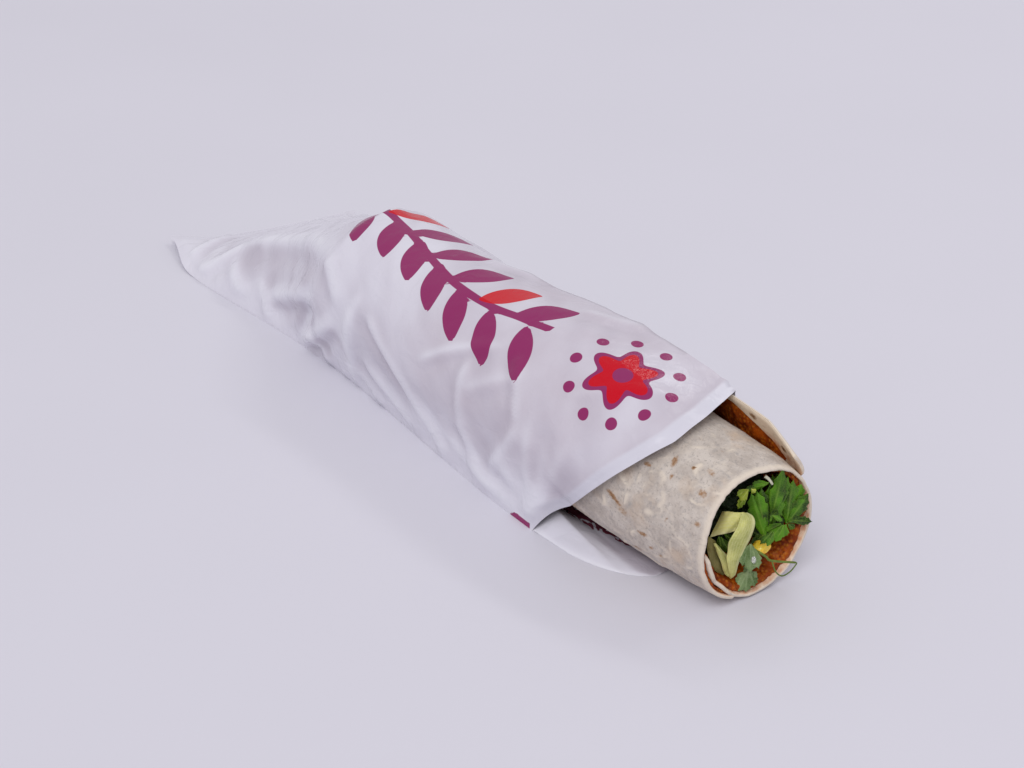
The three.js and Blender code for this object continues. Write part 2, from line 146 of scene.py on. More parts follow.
# Flatbread: a thin baked wheat sheet about 300 mm across, wound one and two thirds turns
# from its free flap inwards. It is pale and dry, with freckles, blisters and toasted spots.
AXIS_Y = -17.8
REAR_X, MOUTH_X = -36.0, 195.0
MOUTH_FAR, MOUTH_NEAR, MOUTH_TOP, MOUTH_UNDER = 1.5, 1.0, 4.2, 1.1
MOUTH_CORNER, OUTER_RECESS, INNER_CORNER = 1.0, 11.0, 12.5
FLARE, FLARE_X = 3.1, 187.0
MOUTH_R, BODY_R, REAR_SWELL, TAPER_LENGTH = 26.5, 33.3, 0.8, 100.0
SQUASH, BED_Z = 0.955, 1.1
FLAP_ANGLE, WIND_ANGLE, FLAP_LIFT = 57.0, 600.0, 7.6
FLAP_END_X, FLAP_FALL, FLAP_FROM_X, FLAP_FULL_X = 203.0, 26.0, -10.0, 150.0
FLAP_BULGE, FLAP_BULGE_BAG, FLAP_BULGE_AT, FLAP_BULGE_WIDE = 3.4, 1.0, 46.0, 20.0
FOOT_BULGE, FOOT_BULGE_AT, FOOT_BULGE_WIDE, PINCH = 2.0, 226.0, 25.0, 1.0
BREAD, KOFTE, KOFTE_BETWEEN, GAP = 1.6, 2.0, 0.9, 0.35
BARE_X = 104.0
MARK_R, DENT_R, NOISE_SIDE, EDGE_ROUND = 27.0, 29.0, 97, 2.2
# Toasted marks on the outer face: wind angle, x, half length, half width, turn, depth.
TOASTED = [
    (292, 168, 2.4, 1, 105, 1), (278, 160, 1.8, 0.9, 10, 0.8), (281, 170.5, 1.4, 0.7, 105, 0.75),
    (240, 151.5, 4.2, 1, -23, 1), (233, 156, 3.4, 1.8, -20, 0.45), (297, 175.5, 0.75, 0.55, 0, 1.7),
    (223, 165.5, 2.8, 0.9, 10, 0.85), (214, 169.5, 1.8, 0.9, 40, 0.65), (212, 174, 1.6, 0.7, 0, 0.6),
    (285, 184.5, 1.9, 1.5, 0, 0.75), (303, 181.5, 2.2, 1.5, 0, 0.5), (262, 188.5, 1.5, 1.1, 30, 0.7),
    (250, 176, 2, 0.5, 80, 0.5), (330, 157, 1.6, 0.8, 40, 0.5), (318, 150, 2.6, 1.2, 10, 0.55),
    (190, 182, 2, 1.2, 20, 0.5), (200, 160, 3.4, 1, 15, 0.6), (178, 152, 3, 1.4, 10, 0.6),
    (345, 172, 1, 0.6, 0, 0.5), (338, 164, 0.8, 0.6, 0, 0.55), (326, 176, 0.9, 0.7, 0, 0.4),
    (120, 170, 3, 2, 0, 0.8), (95, 184, 2.2, 1.4, 30, 0.7), (70, 160, 3.4, 2.2, 50, 0.8),
    (40, 176, 2.6, 1.8, 15, 0.7), (150, 150, 3, 2, 70, 0.6), (60, 188, 1.6, 1.2, 0, 0.6),
]
# Specks on the bare margin inside the flap, in the same terms.
FLAP_SPECKS = [(5, 169, 1.7, 1, 20, 1.3), (9, 178.8, 0.8, 0.6, 60, 0.6), (13, 183.8, 1, 0.9, 0, 1.4),
               (20, 190, 0.9, 0.7, 0, 1.2), (8, 174, 1, 0.6, 0, 0.6), (16, 187, 0.7, 0.5, 0, 0.6)]
# Blisters: wind angle, x, radius along the wind, radius along x, height.
BLISTERS = [(303, 184, 8, 7, 0.55), (243, 151, 9, 5.5, 0.65), (284, 184, 4.2, 4.2, 0.45),
            (262, 166, 7, 6, 0.3), (320, 164, 6, 8, 0.35), (215, 168, 5, 7, 0.4),
            (296, 152, 7, 8, 0.3), (228, 184, 6, 5, 0.3), (334, 182, 5, 5, 0.3),
            (100, 172, 8, 8, 0.45), (60, 165, 7, 9, 0.45), (190, 160, 6, 8, 0.4)]


def mix(a, b, share):
    """From a at share 0 to b at share 1."""
    return a + (b - a) * share


def ease(a, b, value):
    """A smooth step from 0 at a to 1 at b, either way round."""
    s = np.clip((value - a) / (b - a), 0, 1)
    return s * s * (3 - 2 * s)


def noise(u, v, seed):
    """Smooth random heights from -1 to 1, with one random height at each whole u and v."""
    heights = np.random.default_rng(seed).uniform(-1, 1, (NOISE_SIDE, NOISE_SIDE))
    u, v = np.broadcast_arrays(u, v)
    i, j = np.floor(u).astype(int), np.floor(v).astype(int)
    fu, fv = ease(0, 1, u - i), ease(0, 1, v - j)
    i, next_i, j, next_j = (k % NOISE_SIDE for k in (i, i + 1, j, j + 1))
    low = mix(heights[i, j], heights[next_i, j], fu)
    high = mix(heights[i, next_j], heights[next_i, next_j], fu)
    return mix(low, high, fv)


def round_end(share):
    """A quarter circle's height: 0 at share 0, and 1 from share 1 on."""
    return np.sqrt(1 - np.clip(1 - share, 0, 1) ** 2)


def flap_radius(x):
    """Outer radius at the free flap: narrow at the open end, full along the body."""
    s = np.clip((MOUTH_X - x) / TAPER_LENGTH, 0, 1)
    return MOUTH_R + (BODY_R - MOUTH_R) * (1 - (1 - s) ** 1.5) + REAR_SWELL * ease(20, REAR_X, x)


def flap_lift(x):
    """How far the flap's free edge stands off, most where it leaves the bag."""
    fall = np.clip((FLAP_END_X - x) / FLAP_FALL, 0, 1) ** 0.7
    return FLAP_LIFT * fall * ease(FLAP_FROM_X, FLAP_FULL_X, x)


def skin(angle, r, reach, at):
    """Reach of a tight skin round a disc of radius r and one point outside it at angle at."""
    spread = np.degrees(np.arccos(np.clip(r / reach, 0, 1)))
    off = np.abs((angle - at + 540) % 360 - 180)
    return r / np.cos(np.radians(np.clip(spread - off, 0, None)))


def paste_depth(t):
    """Depth of the paste at wind angle t: pressed thin between the turns of the bread."""
    return mix(KOFTE_BETWEEN, KOFTE, ease(235, 300, t))


def wound_radius(t, x):
    """Outer face of the even winding: it closes in by bread, paste and gaps at each turn."""
    turn = np.where(t > 360, t - 360, t)
    inner = np.where(t > 360, BREAD + paste_depth(turn) + 2 * GAP, 0)
    return flap_radius(x) - (BREAD + KOFTE_BETWEEN + 2 * GAP) * turn / 360 - inner


def bulge(t, x):
    """What the roll's shape adds near its open end: fuller under the flap and at the near
    foot, with the bare bread under the flap's corner pressed against the flap."""
    from_flap, from_foot = ((FLAP_ANGLE - t - at + 1260) % 360 - 180
                            for at in (FLAP_BULGE_AT, FOOT_BULGE_AT))
    flap = mix(FLAP_BULGE_BAG, FLAP_BULGE, ease(150, 182, x)) * ease(110, 150, x)
    foot = FOOT_BULGE * ease(80, 140, x) * (1 - 0.55 * ease(170, 196, x))
    pinch = PINCH * ease(325, 355, t) * ease(392, 380, t) * ease(172, 188, x)
    flap = flap * np.exp(-(from_flap / FLAP_BULGE_WIDE) ** 2)
    return flap + foot * np.exp(-(from_foot / FOOT_BULGE_WIDE) ** 2) + pinch


def flare(t, x):
    """How far the inner turn spreads outwards where it reaches past the outer one."""
    past = np.clip((x - FLARE_X) / (MOUTH_X - FLARE_X), 0, None)
    return FLARE * ease(372, 396, t) * ease(552, 518, t) * past


def wind_radius(t, x):
    """Outer face of the bread, with the flap leaving the roll along a tangent."""
    wound = wound_radius(t, x)
    even = np.where(t < 90, skin(-t, wound, flap_radius(x) + flap_lift(x), 0), wound)
    return even + bulge(t, x) + flare(t, x)


def axis_height(x):
    """Height of the roll's axis, so that the turn underneath rests on the bag's floor."""
    return BED_Z + SQUASH * wound_radius(np.float64(FLAP_ANGLE + 90), x)


def xyz(*parts):
    """Points from their x, y and z, each an array or one number."""
    return np.stack(np.broadcast_arrays(*parts), -1)


def roll_points(t, x, depth):
    """Points at wind angle t and place x, depth below the bread's outer face."""
    r = wind_radius(t, x) - depth
    a = np.radians(FLAP_ANGLE - t)
    return xyz(x, AXIS_Y + r * np.cos(a), axis_height(x) + SQUASH * r * np.sin(a))


def mouth_x(t):
    """Front edge of the bread: set back over the top, longest at the flap's corner, further
    in where the outer turn goes round the far side, and rounded off at the inner end."""
    a = np.radians(FLAP_ANGLE - t)
    c, s = np.cos(a), np.sin(a)
    slant = np.where(c > 0, MOUTH_FAR, MOUTH_NEAR) * c + np.where(s > 0, -MOUTH_TOP, MOUTH_UNDER) * s * s
    recess = OUTER_RECESS * ease(14, 40, t) * ease(172, 140, t)
    end = INNER_CORNER * ease(583, 606, t) ** 1.5
    return MOUTH_X + slant + MOUTH_CORNER * ease(55, 0, t) - recess - end


def surface(points, around=False):
    """Points in a grid and the quads between them; around joins the last column to the first."""
    rows, cols = points.shape[:2]
    i, j = np.meshgrid(np.arange(rows - 1), np.arange(cols if around else cols - 1), indexing="ij")
    k = (j + 1) % cols
    corners = [i * cols + j, i * cols + k, (i + 1) * cols + k, (i + 1) * cols + j]
    return points, np.stack([c.ravel() for c in corners], -1)


def close_mesh(mesh):
    """Merges points that coincide, drops what collapsed and turns the faces outwards."""
    work = bmesh.new()
    work.from_mesh(mesh)
    bmesh.ops.remove_doubles(work, verts=work.verts, dist=2e-6)
    bmesh.ops.dissolve_degenerate(work, edges=work.edges, dist=1e-7)
    bmesh.ops.recalc_face_normals(work, faces=work.faces)
    work.to_mesh(mesh)
    work.free()
    mesh.polygons.foreach_set("use_smooth", np.ones(len(mesh.polygons), bool))
    mesh.update()


def make_piece(name, parts, finish, node_name, attributes=None):
    """One mesh from parts, each points in millimetres and quads, with a value of each named
    attribute at every point. It takes the place of the node and rides on the part."""
    points = np.concatenate([p.reshape(-1, 3) for p, _ in parts])
    starts = np.cumsum([0] + [p.size // 3 for p, _ in parts[:-1]])
    faces = np.concatenate([f + s for (_, f), s in zip(parts, starts)])
    mesh = bpy.data.meshes.new(name)
    mesh.from_pydata(points / 1000, [], faces)
    for key, values in (attributes or {}).items():
        layer = mesh.attributes.new(key, "FLOAT", "POINT")
        layer.data.foreach_set("value", np.concatenate([v.ravel() for v in values]).astype(np.float32))
    close_mesh(mesh)
    mesh.materials.append(finish)
    piece = put(name, mesh)
    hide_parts(node_name)
    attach(piece, "root")
    return piece


def marks(t, x, places):
    """Strength of oval marks, each a soft-edged ellipse turned in the sheet."""
    total = np.zeros(np.broadcast(t, x).shape)
    for angle, at_x, half_length, half_width, turn, depth in places:
        across = np.radians(t - angle) * MARK_R
        c, s = math.cos(math.radians(turn)), math.sin(math.radians(turn))
        u = ((x - at_x) * c + across * s) / half_length
        v = ((x - at_x) * -s + across * c) / half_width
        total = np.maximum(total, depth * np.exp(-(u * u + v * v) ** 1.5))
    return total


def bread_relief(t, x):
    """Height of the outer face: soft dents, wrinkles and blisters with a raised rim. Also
    how strongly each point lies on such a rim."""
    a = np.radians(t) * DENT_R
    h = 0.32 * noise(a / 19, x / 26, 11) + 0.2 * noise(a / 6.5, x / 8, 12) + 0.1 * noise(a / 2.6, x / 3.4, 13)
    crease = (1 - np.abs(noise(a / 6 + 0.5 * noise(x / 9, a / 9, 15), x / 8, 14))) ** 12
    fine = (1 - np.abs(noise(a / 3 + 0.6 * noise(x / 7, a / 7, 17), x / 5, 18))) ** 16
    rims = 0.45 * crease + 0.4 * fine
    h = h - 0.16 * crease + 0.09 * fine
    for angle, at_x, along, beside, height in BLISTERS:
        wave = 0.26 * noise(t / 9, x / 5, 16)
        d = np.hypot(np.radians(t - angle) * MARK_R / along, (x - at_x) / beside) + wave
        rim = np.exp(-((d - 1) / 0.13) ** 2) * ease(-0.35, 0.45, noise(t / 7 + at_x, x / 4, 19))
        h = h + height * (0.45 * np.exp(-d ** 4) + 0.9 * rim)
        rims = np.maximum(rims, rim * (0.6 + height))
    return h, rims


def section_loop(front, lip, fine_x, hidden, counts, power, skip):
    """A sheet's section at each wind angle, as a loop: outer face, lip and inner face with counts
    of points, and the hidden places behind fine_x. Also each point's share of the way through."""
    outer, turn, inner = (np.linspace(0, 1, count)[None, :] for count in counts)
    turn = np.pi * turn[:, 1:-1]
    run = front - lip - fine_x
    rear = hidden[:, ::-skip]
    ones = np.ones_like(front)
    x = np.concatenate([hidden * ones, fine_x + run * outer, front - lip + lip * np.sin(turn),
                        fine_x + run * inner[:, ::-1] ** power, rear * ones], 1)
    share = np.concatenate([0 * hidden, 0 * outer, 0.5 - 0.5 * np.cos(turn), 0 * inner + 1, 0 * rear + 1], 1)
    return x, share * ones


def flatbread_grid():
    """The sheet's loop at each wind angle, with blisters and waves in its outer face. Thickness
    fades to a round edge at both ends of the winding. Also where it is burnt, oily or pale."""
    t = np.concatenate([np.linspace(0, 5, 9), np.arange(6.5, 594, 1.6), np.linspace(594.5, 600, 9)])[:, None]
    front = mouth_x(t) + 0.45 * noise(t / 13, 0.5, 21) + 0.25 * noise(t / 4, 0.5, 22)
    lip = BREAD / 2
    hidden = np.linspace(REAR_X, BARE_X, 22)[None, :-1]
    x, share = section_loop(front, lip, BARE_X, hidden, (108, 11, 46), 1.3, 3)
    to_end = np.minimum(t, WIND_ANGLE - t)
    depth = lip + (share - 0.5) * BREAD * round_end(to_end / EDGE_ROUND)
    height, rims = bread_relief(t, x)
    outside = (1 - share) ** 2 * ease(0, 12, t) * ease(420, 330, t)
    wobble = 0.16 * noise(t / 24, x / 40, 23) + 0.2 * noise(t / 11, 0.5, 24) * ease(front - 8, front, x)
    points = roll_points(t, x, depth - height * outside * ease(front, front - 5, x) - wobble)
    toast = marks(t, x, TOASTED) * (share < 0.5) + marks(t, x, FLAP_SPECKS) * (share > 0.5)
    # Paler at the edges and along wrinkle lines; on the blister rims the paleness is a painted highlight on
    # the raised rims.
    pale = np.maximum(ease(front - 3.2, front - 0.9, x) * (1 - 0.3 * share), rims * outside)
    pale = np.maximum(pale, ease(2.6, 0.4, t))
    at_mouth = ease(26, 44, t) * ease(front - 12, front - 4, x)
    at_flap = 0.95 * ease(5, 17, t) * ease(150, 166, x)
    stained = ease(0.55, 1, share) * np.maximum(at_mouth, at_flap)
    return points, {"toast": [toast], "inside": [share], "stained": [stained], "pale": [pale]}


def flatbread_finish():
    """Baked wheat dough: dry and floury, mottled cream and grey with fine flecks, pale at edges
    and wrinkles, with a painted highlight on blister rims, a cream inner face partly brightened as
    painted light, orange where oil soaked in, with tan and brown burns."""
    made, tree, shader, mm = new_material("baked_wheat_flatbread")
    patches, freckles, flecks, blush, edges, ragged, crumbs = (
        add(tree, "TexNoise", {"Vector": mm, "Scale": 1 / size, "Detail": detail, "Roughness": rough})
        for size, detail, rough in [(7, 5, 0.65), (2.2, 4, 0.75), (0.9, 2, 0.6), (12, 3, 0.5),
                                    (2.5, 4, 0.5), (0.9, 3, 0.5), (1.1, 4, 0.6)])
    pale, inside, stain, toast = (add(tree, "Attribute", out="Fac", attribute_name=name)
                                  for name in ("pale", "inside", "stained", "toast"))
    soaked = add(tree, "Math", {0: stain, 1: edges}, operation="MULTIPLY")
    burnt = add(tree, "Math", {0: toast, 1: ragged}, operation="MULTIPLY")
    # The inner face's cream is partly the crumb's own paler colour and partly painted light, brightened to
    # stand in for light bounced onto the flap's inner face.
    colour = layered(
        tree, "bcb1a7", ("d3c9bf", patches, 0.38, 0.62, 1), ("a09b98", freckles, 0.53, 0.7, 0.6),
        ("8d837c", flecks, 0.57, 0.7, 0.5), ("cfb69c", blush, 0.54, 0.72, 0.55),
        ("e6d9c8", pale, 0.1, 1, 0.85), ("f8e6cc", inside, 0.6, 1, 1), ("c4702c", soaked, 0.2, 0.75, 0.85),
        ("9c7146", burnt, 0.1, 0.36, 0.85), ("57361f", burnt, 0.42, 0.65, 0.9))
    ripples = add(tree, "TexNoise", {"Vector": mm, "Scale": 1 / 4.5, "Detail": 3.0, "Distortion": 0.8})
    coarse = add(tree, "Bump", {"Strength": 0.5, "Distance": 0.0012, "Height": ripples})
    bump = add(tree, "Bump", {"Strength": 0.45, "Distance": 0.0004, "Height": crumbs, "Normal": coarse})
    feed(tree, shader, {"Base Color": colour, "Roughness": 0.8, "Specular IOR Level": 0.22, "Normal": bump})
    return made


bread_points, bread_looks = flatbread_grid()
make_piece("wound_flatbread", [surface(bread_points, around=True)], flatbread_finish(), "flatbread",
           bread_looks)


# Kofte: spiced bulgur paste, kneaded and spread by hand over the bread's inner face. It is
# grainy and a little oily, stops short of the bread's edges and squeezes out in a wavy line.
KOFTE_FIRST, KOFTE_LAST, KOFTE_REAR = 4.0, 590.0, 7.0
# How far behind the bread's edge the paste stops, at wind angles round the roll.
KOFTE_INSET = [(140, 1.6), (170, 0.9), (236, 0.9), (262, 4.2),
               (345, 4.2), (376, 1.3), (540, 1.3), (575, 3.8)]
KOFTE_FINE_X, KOFTE_FLAP_X, KOFTE_LIP, GRAIN_R = 152.0, 158.0, 0.4, 23.0
KOFTE_OFF, KOFTE_PROUD = 0.02, 0.3


def kofte_grid():
    """The paste's loop at each wind angle, like the bread's: its face against the bread, a
    blunt front, and its open face with grains of bulgur as bumps."""
    t = np.linspace(KOFTE_FIRST, KOFTE_LAST, 540)[:, None]
    shifted = np.clip(1 - (t - KOFTE_FIRST) / 60, 0, 1)
    ragged = 0.5 * noise(t / 7, 0.5, 31) + 0.35 * noise(t / 2.6, 0.5, 32)
    front = mouth_x(t + 30 * shifted) - np.interp(t, *zip(*KOFTE_INSET)) + ragged
    hidden = np.linspace(REAR_X + KOFTE_REAR, KOFTE_FINE_X, 9)[None, :-1]
    x, share = section_loop(front, KOFTE_LIP, KOFTE_FINE_X, hidden, (10, 7, 70), 1.1, 1)
    border = 1.6 * noise(x / 7, 0.5, 33) + 0.9 * noise(x / 3, 0.5, 34)
    border = border + 0.55 * np.clip(x - KOFTE_FLAP_X, 0, None)
    angle = t + np.maximum(border, -2) * shifted
    a = np.radians(angle) * GRAIN_R
    grains = 0.5 * noise(a / 1.5, x / 1.5, 35) + 0.34 * noise(a / 0.8, x / 0.8, 36)
    lumps = 0.5 * noise(a / 6, x / 6, 37)
    free = np.maximum(ease(240, 290, angle), ease(60, 40, angle))
    rise = ease(0, 5, t - KOFTE_FIRST) * ease(0, 6, KOFTE_LAST - t)
    relief = (grains + lumps) * mix(0.26, 0.62, free) * share ** 2 * rise
    top = BREAD + KOFTE_OFF + (paste_depth(angle) + KOFTE_PROUD) * rise
    return roll_points(angle, x, mix(BREAD + KOFTE_OFF, top, share) + relief)


def kofte_finish():
    """Spiced bulgur paste: red-brown and grainy, with orange oil and dark specks of pepper."""
    made, tree, shader, mm = new_material("spiced_bulgur_paste")
    lumps = add(tree, "TexNoise", {"Vector": mm, "Scale": 1 / 5, "Detail": 4.0})
    grains = add(tree, "TexVoronoi", {"Vector": mm, "Scale": 1 / 1.5})
    specks = add(tree, "TexNoise", {"Vector": mm, "Scale": 1 / 1.1, "Detail": 2.0})
    colour = layered(tree, "6e2402", ("a84d0a", lumps, 0.35, 0.65, 1), ("c67a22", grains, 0.5, 0.1, 0.6),
                     ("4a1806", specks, 0.6, 0.72, 0.8))
    wet = add(tree, "MapRange", {0: lumps, 1: 0.4, 2: 0.7, 3: 0.5, 4: 0.28})
    fine = add(tree, "TexNoise", {"Vector": mm, "Scale": 1 / 0.6, "Detail": 4.0})
    bump = add(tree, "Bump", {"Strength": 0.5, "Distance": 0.0005, "Height": fine})
    feed(tree, shader, {"Base Color": colour, "Roughness": wet, "Specular IOR Level": 0.15, "Normal": bump})
    return made


make_piece("kofte_paste", [surface(kofte_grid(), around=True)], kofte_finish(), "kofte")


# Salad core: the imported leaves behind those that show at the open end. They fill the roll,
# and only crumpled edges are seen between the front leaves, painted near black as the shade deep in the roll.
CORE_REAR, CORE_FACE, CORE_PLAY, CORE_SPREAD = REAR_X + 5, 178.0, 0.4, 10
SIDE_RINGS, FACE_RINGS = 16, 44


def core_radius(a, x):
    """Room inside the winding at polar angle a, less bread, paste and a little play."""
    first = WIND_ANGLE - 360
    t = first + (FLAP_ANGLE - first - a) % 360
    beside = np.maximum(t - CORE_SPREAD, first), np.minimum(t + CORE_SPREAD, WIND_ANGLE)
    room = np.minimum.reduce([wind_radius(place, x) for place in (*beside, t)])
    return room - BREAD - KOFTE - 2 * GAP - CORE_PLAY


def core_grid():
    """Rings along the roll that close at both ends, the front one crumpled into ridges."""
    a = np.linspace(0, 360, 121)[None, :-1]
    along = np.concatenate([np.linspace(CORE_REAR, CORE_FACE, SIDE_RINGS), np.full(FACE_RINGS, CORE_FACE)])
    along = along[:, None]
    closing = np.concatenate([[0.0, 0.6], np.ones(SIDE_RINGS - 2), np.linspace(1, 0, FACE_RINGS)])[:, None]
    r = core_radius(a, along) * closing
    u, v = r * np.cos(np.radians(a)), r * np.sin(np.radians(a))
    folds = 3.2 * (1 - np.abs(noise(u / 4, v / 4, 41))) ** 2
    folds = folds + 1.6 * (1 - np.abs(noise(u / 2, v / 2, 42))) ** 2
    front = np.concatenate([np.zeros(SIDE_RINGS), np.ones(FACE_RINGS)])[:, None]
    x = along + front * (folds + 2.0 * (1 - closing)) * ease(1, 0.8, closing)
    return xyz(x, AXIS_Y + u, axis_height(along) + SQUASH * v)


def leaf_finish(name, dark, light, rib, roughness, vein_mm):
    """Fresh leaf: a waxy skin over mottled green, with paler ribs and a fine net of veins."""
    made, tree, shader, mm = new_material(name)
    cloud = add(tree, "TexNoise", {"Vector": mm, "Scale": 1 / 5, "Detail": 3.0})
    tone, ribs = (add(tree, "Attribute", out="Fac", attribute_name=key) for key in ("tone", "rib"))
    shade = add(tree, "Math", {0: cloud, 1: tone}, operation="ADD")
    cells = add(tree, "TexVoronoi", {"Vector": mm, "Scale": 1 / vein_mm}, feature="DISTANCE_TO_EDGE")
    colour = layered(tree, dark, (light, shade, 0.4, 1.1, 1), (rib, cells, 0.12, 0, 0.22),
                     (rib, ribs, 0, 1, 1))
    bump = add(tree, "Bump", {"Strength": 0.3, "Distance": 0.0003, "Height": cells})
    feed(tree, shader, {"Base Color": colour, "Roughness": roughness, "Specular IOR Level": 0.25,
                        "Normal": bump})
    return made


def make_leaves(name, blades, look, thick_mm=0):
    """One piece of salad from blades, each a surface with its ribs and tones. A thin blade gets
    its thickness evenly to both sides."""
    surfaces, ribs, tones = zip(*blades)
    leaves = make_piece(name, surfaces, leaf_finish(*look), "salad", {"rib": ribs, "tone": tones})
    if thick_mm:
        shell = leaves.modifiers.new("thickness", "SOLIDIFY")
        shell.thickness = thick_mm / 1000
        shell.offset = 0


core_points = core_grid()
core_plain = np.zeros(core_points.shape[:2])
# The core's leaves are coloured near black as painted shade.
make_leaves("packed_salad_core", [(surface(core_points, around=True), core_plain, core_plain)],
            ("packed_leaves_in_painted_shade", "121d08", "26400f", "2f4a16", 0.55, 1.6))


# Parsley: flat-leaved sprigs pushed in by hand. Each leaf is a fan of thin toothed lobes with
# a rib down each lobe. The lowest leaf hangs out and shows its dull underside.
OPEN = np.array([0.698, -0.528, 0.484])
RIGHT, UP = np.array([0.6032, 0.7976, 0.0]), np.array([-0.386, 0.292, 0.875])
LEAF_THICK, FRONT_ROOM_X, OPEN_ROOM_X = 0.2, 190, 194.5
RISE, HANG = np.array([0.1, 0.01, 0.995]), np.array([-0.286, 0.26, 0.92])
# Half width of a lobe along its length, as shares of both: it widens to a tooth, then to a
# smaller one, and ends in a point.
LOBE_ALONG = [0, 0.08, 0.35, 0.64, 0.69, 0.83, 0.875, 1]
LOBE_WIDE = [0.13, 0.16, 0.66, 1.0, 0.66, 0.74, 0.42, 0]
# Lobes: foot, how far to the right and up the tip lies as seen from the open side, half width,
# tone. The tone is partly painted shade, lower for lobes set deeper in the opening. Those of one
# fan share a foot.
PARSLEY = [
    ((190.6, -7.8, 17.3), (-6.9, 17.5), 3, 0.6), ((190.4, -7.5, 17.5), (-5.3, 18.4), 3, 0.4),
    ((190.3, -7.1, 17.7), (-3.6, 19.1), 3.5, 0.05), ((190, -6, 18), (-0.7, 19.7), 3.5, 0),
    ((191.2, -6.9, 25.1), (2.5, 18.7), 2.9, 0.4), ((190.8, -5.4, 21.7), (1.8, 13.9), 3.1, 0.25),
    ((191, -6.6, 25.5), (4.7, 16), 2.3, 0.35), ((190.6, -7.4, 18.2), (-6, 12.5), 2.4, 0.65),
    ((193.4, -0.8, 23), (0.7, 16.6), 3.5, 0.35), ((194, -0.7, 24.1), (5.9, 10.4), 3.2, 0.15),
    ((192.8, -0.5, 23.4), (-2.4, 11.6), 3, 0.25), ((193.6, 0.2, 24), (2.8, 13.3), 3.1, 0.4),
    ((193.8, -0.6, 23.6), (4.7, 8.9), 2.9, 0.3), ((194.6, -0.4, 24.7), (7.9, -0.4), 1.8, -0.15),
    ((194.3, -0.9, 24.2), (5, 1.6), 1.7, -0.05), ((195.2, -3, 24.4), (-0.7, -4.8), 2.1, 0.55),
    ((195.2, -4, 24.6), (-2.6, -6.1), 2.2, 0.6), ((195, -4.8, 24.8), (-4.4, -6.8), 2, 0.5),
    ((194.4, -4.8, 25.1), (-5, -2.9), 1.7, 0.3), ((195.3, -2.2, 24.3), (2.4, -1.6), 1.3, 0.2),
    ((188.6, -5.1, 14.9), (-6.1, -0.7), 2.2, -0.05), ((188.4, -4.9, 15), (-5.7, 3.6), 2.4, -0.15),
    ((188.2, -4.8, 15.7), (-5.1, 6.6), 2.4, -0.2), ((190, -8.1, 41.2), (-8.2, -2.7), 1.5, 0.4),
    ((190, -8.1, 41.2), (-5.7, -0.2), 1.3, 0.3), ((190.2, -9, 41), (-6, -1.6), 1.4, 0.45),
    ((187.6, 0.1, 24), (-1.2, 14.3), 3.4, -0.15), ((187.4, 4, 22.3), (0.9, 14.9), 3.2, -0.1),
    ((187.4, -8, 25.3), (-1.9, 10), 3, -0.3), ((188.6, 8.8, 19.2), (1.6, 10.8), 3, -0.15),
    ((188.8, -1, 12.7), (1, 10), 2.6, -0.2), ((187.8, -27.6, 25), (4.4, -6.6), 1.8, 0),
    ((187.6, -28.4, 25.4), (1.2, -5), 1.8, -0.1), ((187.8, -26, 25.6), (4.6, -3), 1.6, -0.1),
    ((188.2, -1.9, 27.7), (-2.2, 12), 2.4, 0.05), ((188.4, 0.8, 26.7), (-2.3, 12.7), 2.2, -0.05),
    ((188.6, 3.5, 25.7), (-0.2, 11.5), 2.4, 0), ((189.4, 5.9, 24.3), (0.4, 10.8), 2.2, 0.1),
    ((190.4, 7.6, 23.3), (1.1, 7.7), 2.2, 0), ((187.6, -10.4, 32.4), (-1.4, 4.3), 1.8, -0.1),
    ((198, -13, 26.9), (-3.6, -4.8), 1.5, 0.2), ((198.2, -12.2, 26.7), (-1.9, -5.4), 1.4, 0.3),
    ((190.4, -8.4, 20.1), (-3.2, -3), 1.8, 0.05), ((194.6, -9.8, 30.6), (3.8, -2.1), 1, 0.55),
    ((192.4, -8.7, 28.6), (2.9, 2.1), 1.6, 0.1), ((192.6, -2.7, 26.8), (-2.5, 2.9), 1.5, 0.15),
]
FRILL = [((189.5, -17.4, 41.6), (-3.2, -7.1), 1.5, 0.15), ((189.5, -17.4, 41.6), (-4.1, -2.2), 1.6, 0.3),
         ((189.7, -18.1, 41.5), (-2.2, -3.6), 1.7, 0.45), ((190.2, -16.8, 42.1), (1.6, -1.4), 1.1, 0.3)]
HANGING = [((194.2, -19.3, 22.2), (-2.8, -7.9), 2.3, 0.2), ((194.2, -19.2, 22.2), (3, -8.9), 2.4, 0.3),
           ((194.5, -19.6, 22.3), (0, -10.4), 2.8, 0.15), ((194, -17.8, 13.7), (-2.1, -4.5), 1.8, 0.3),
           ((193.8, -18.9, 10.5), (-4.4, -4.5), 1.9, 0.25), ((194, -19.3, 11), (-3.4, -7.5), 2.2, 0.3),
           ((194.2, -19.4, 11.2), (-0.6, -8), 2.3, 0.4), ((194.2, -19, 11), (2.2, -6.1), 2.2, 0.35),
           ((194, -18.7, 10.1), (2.9, -2.1), 1.6, 0.45)]


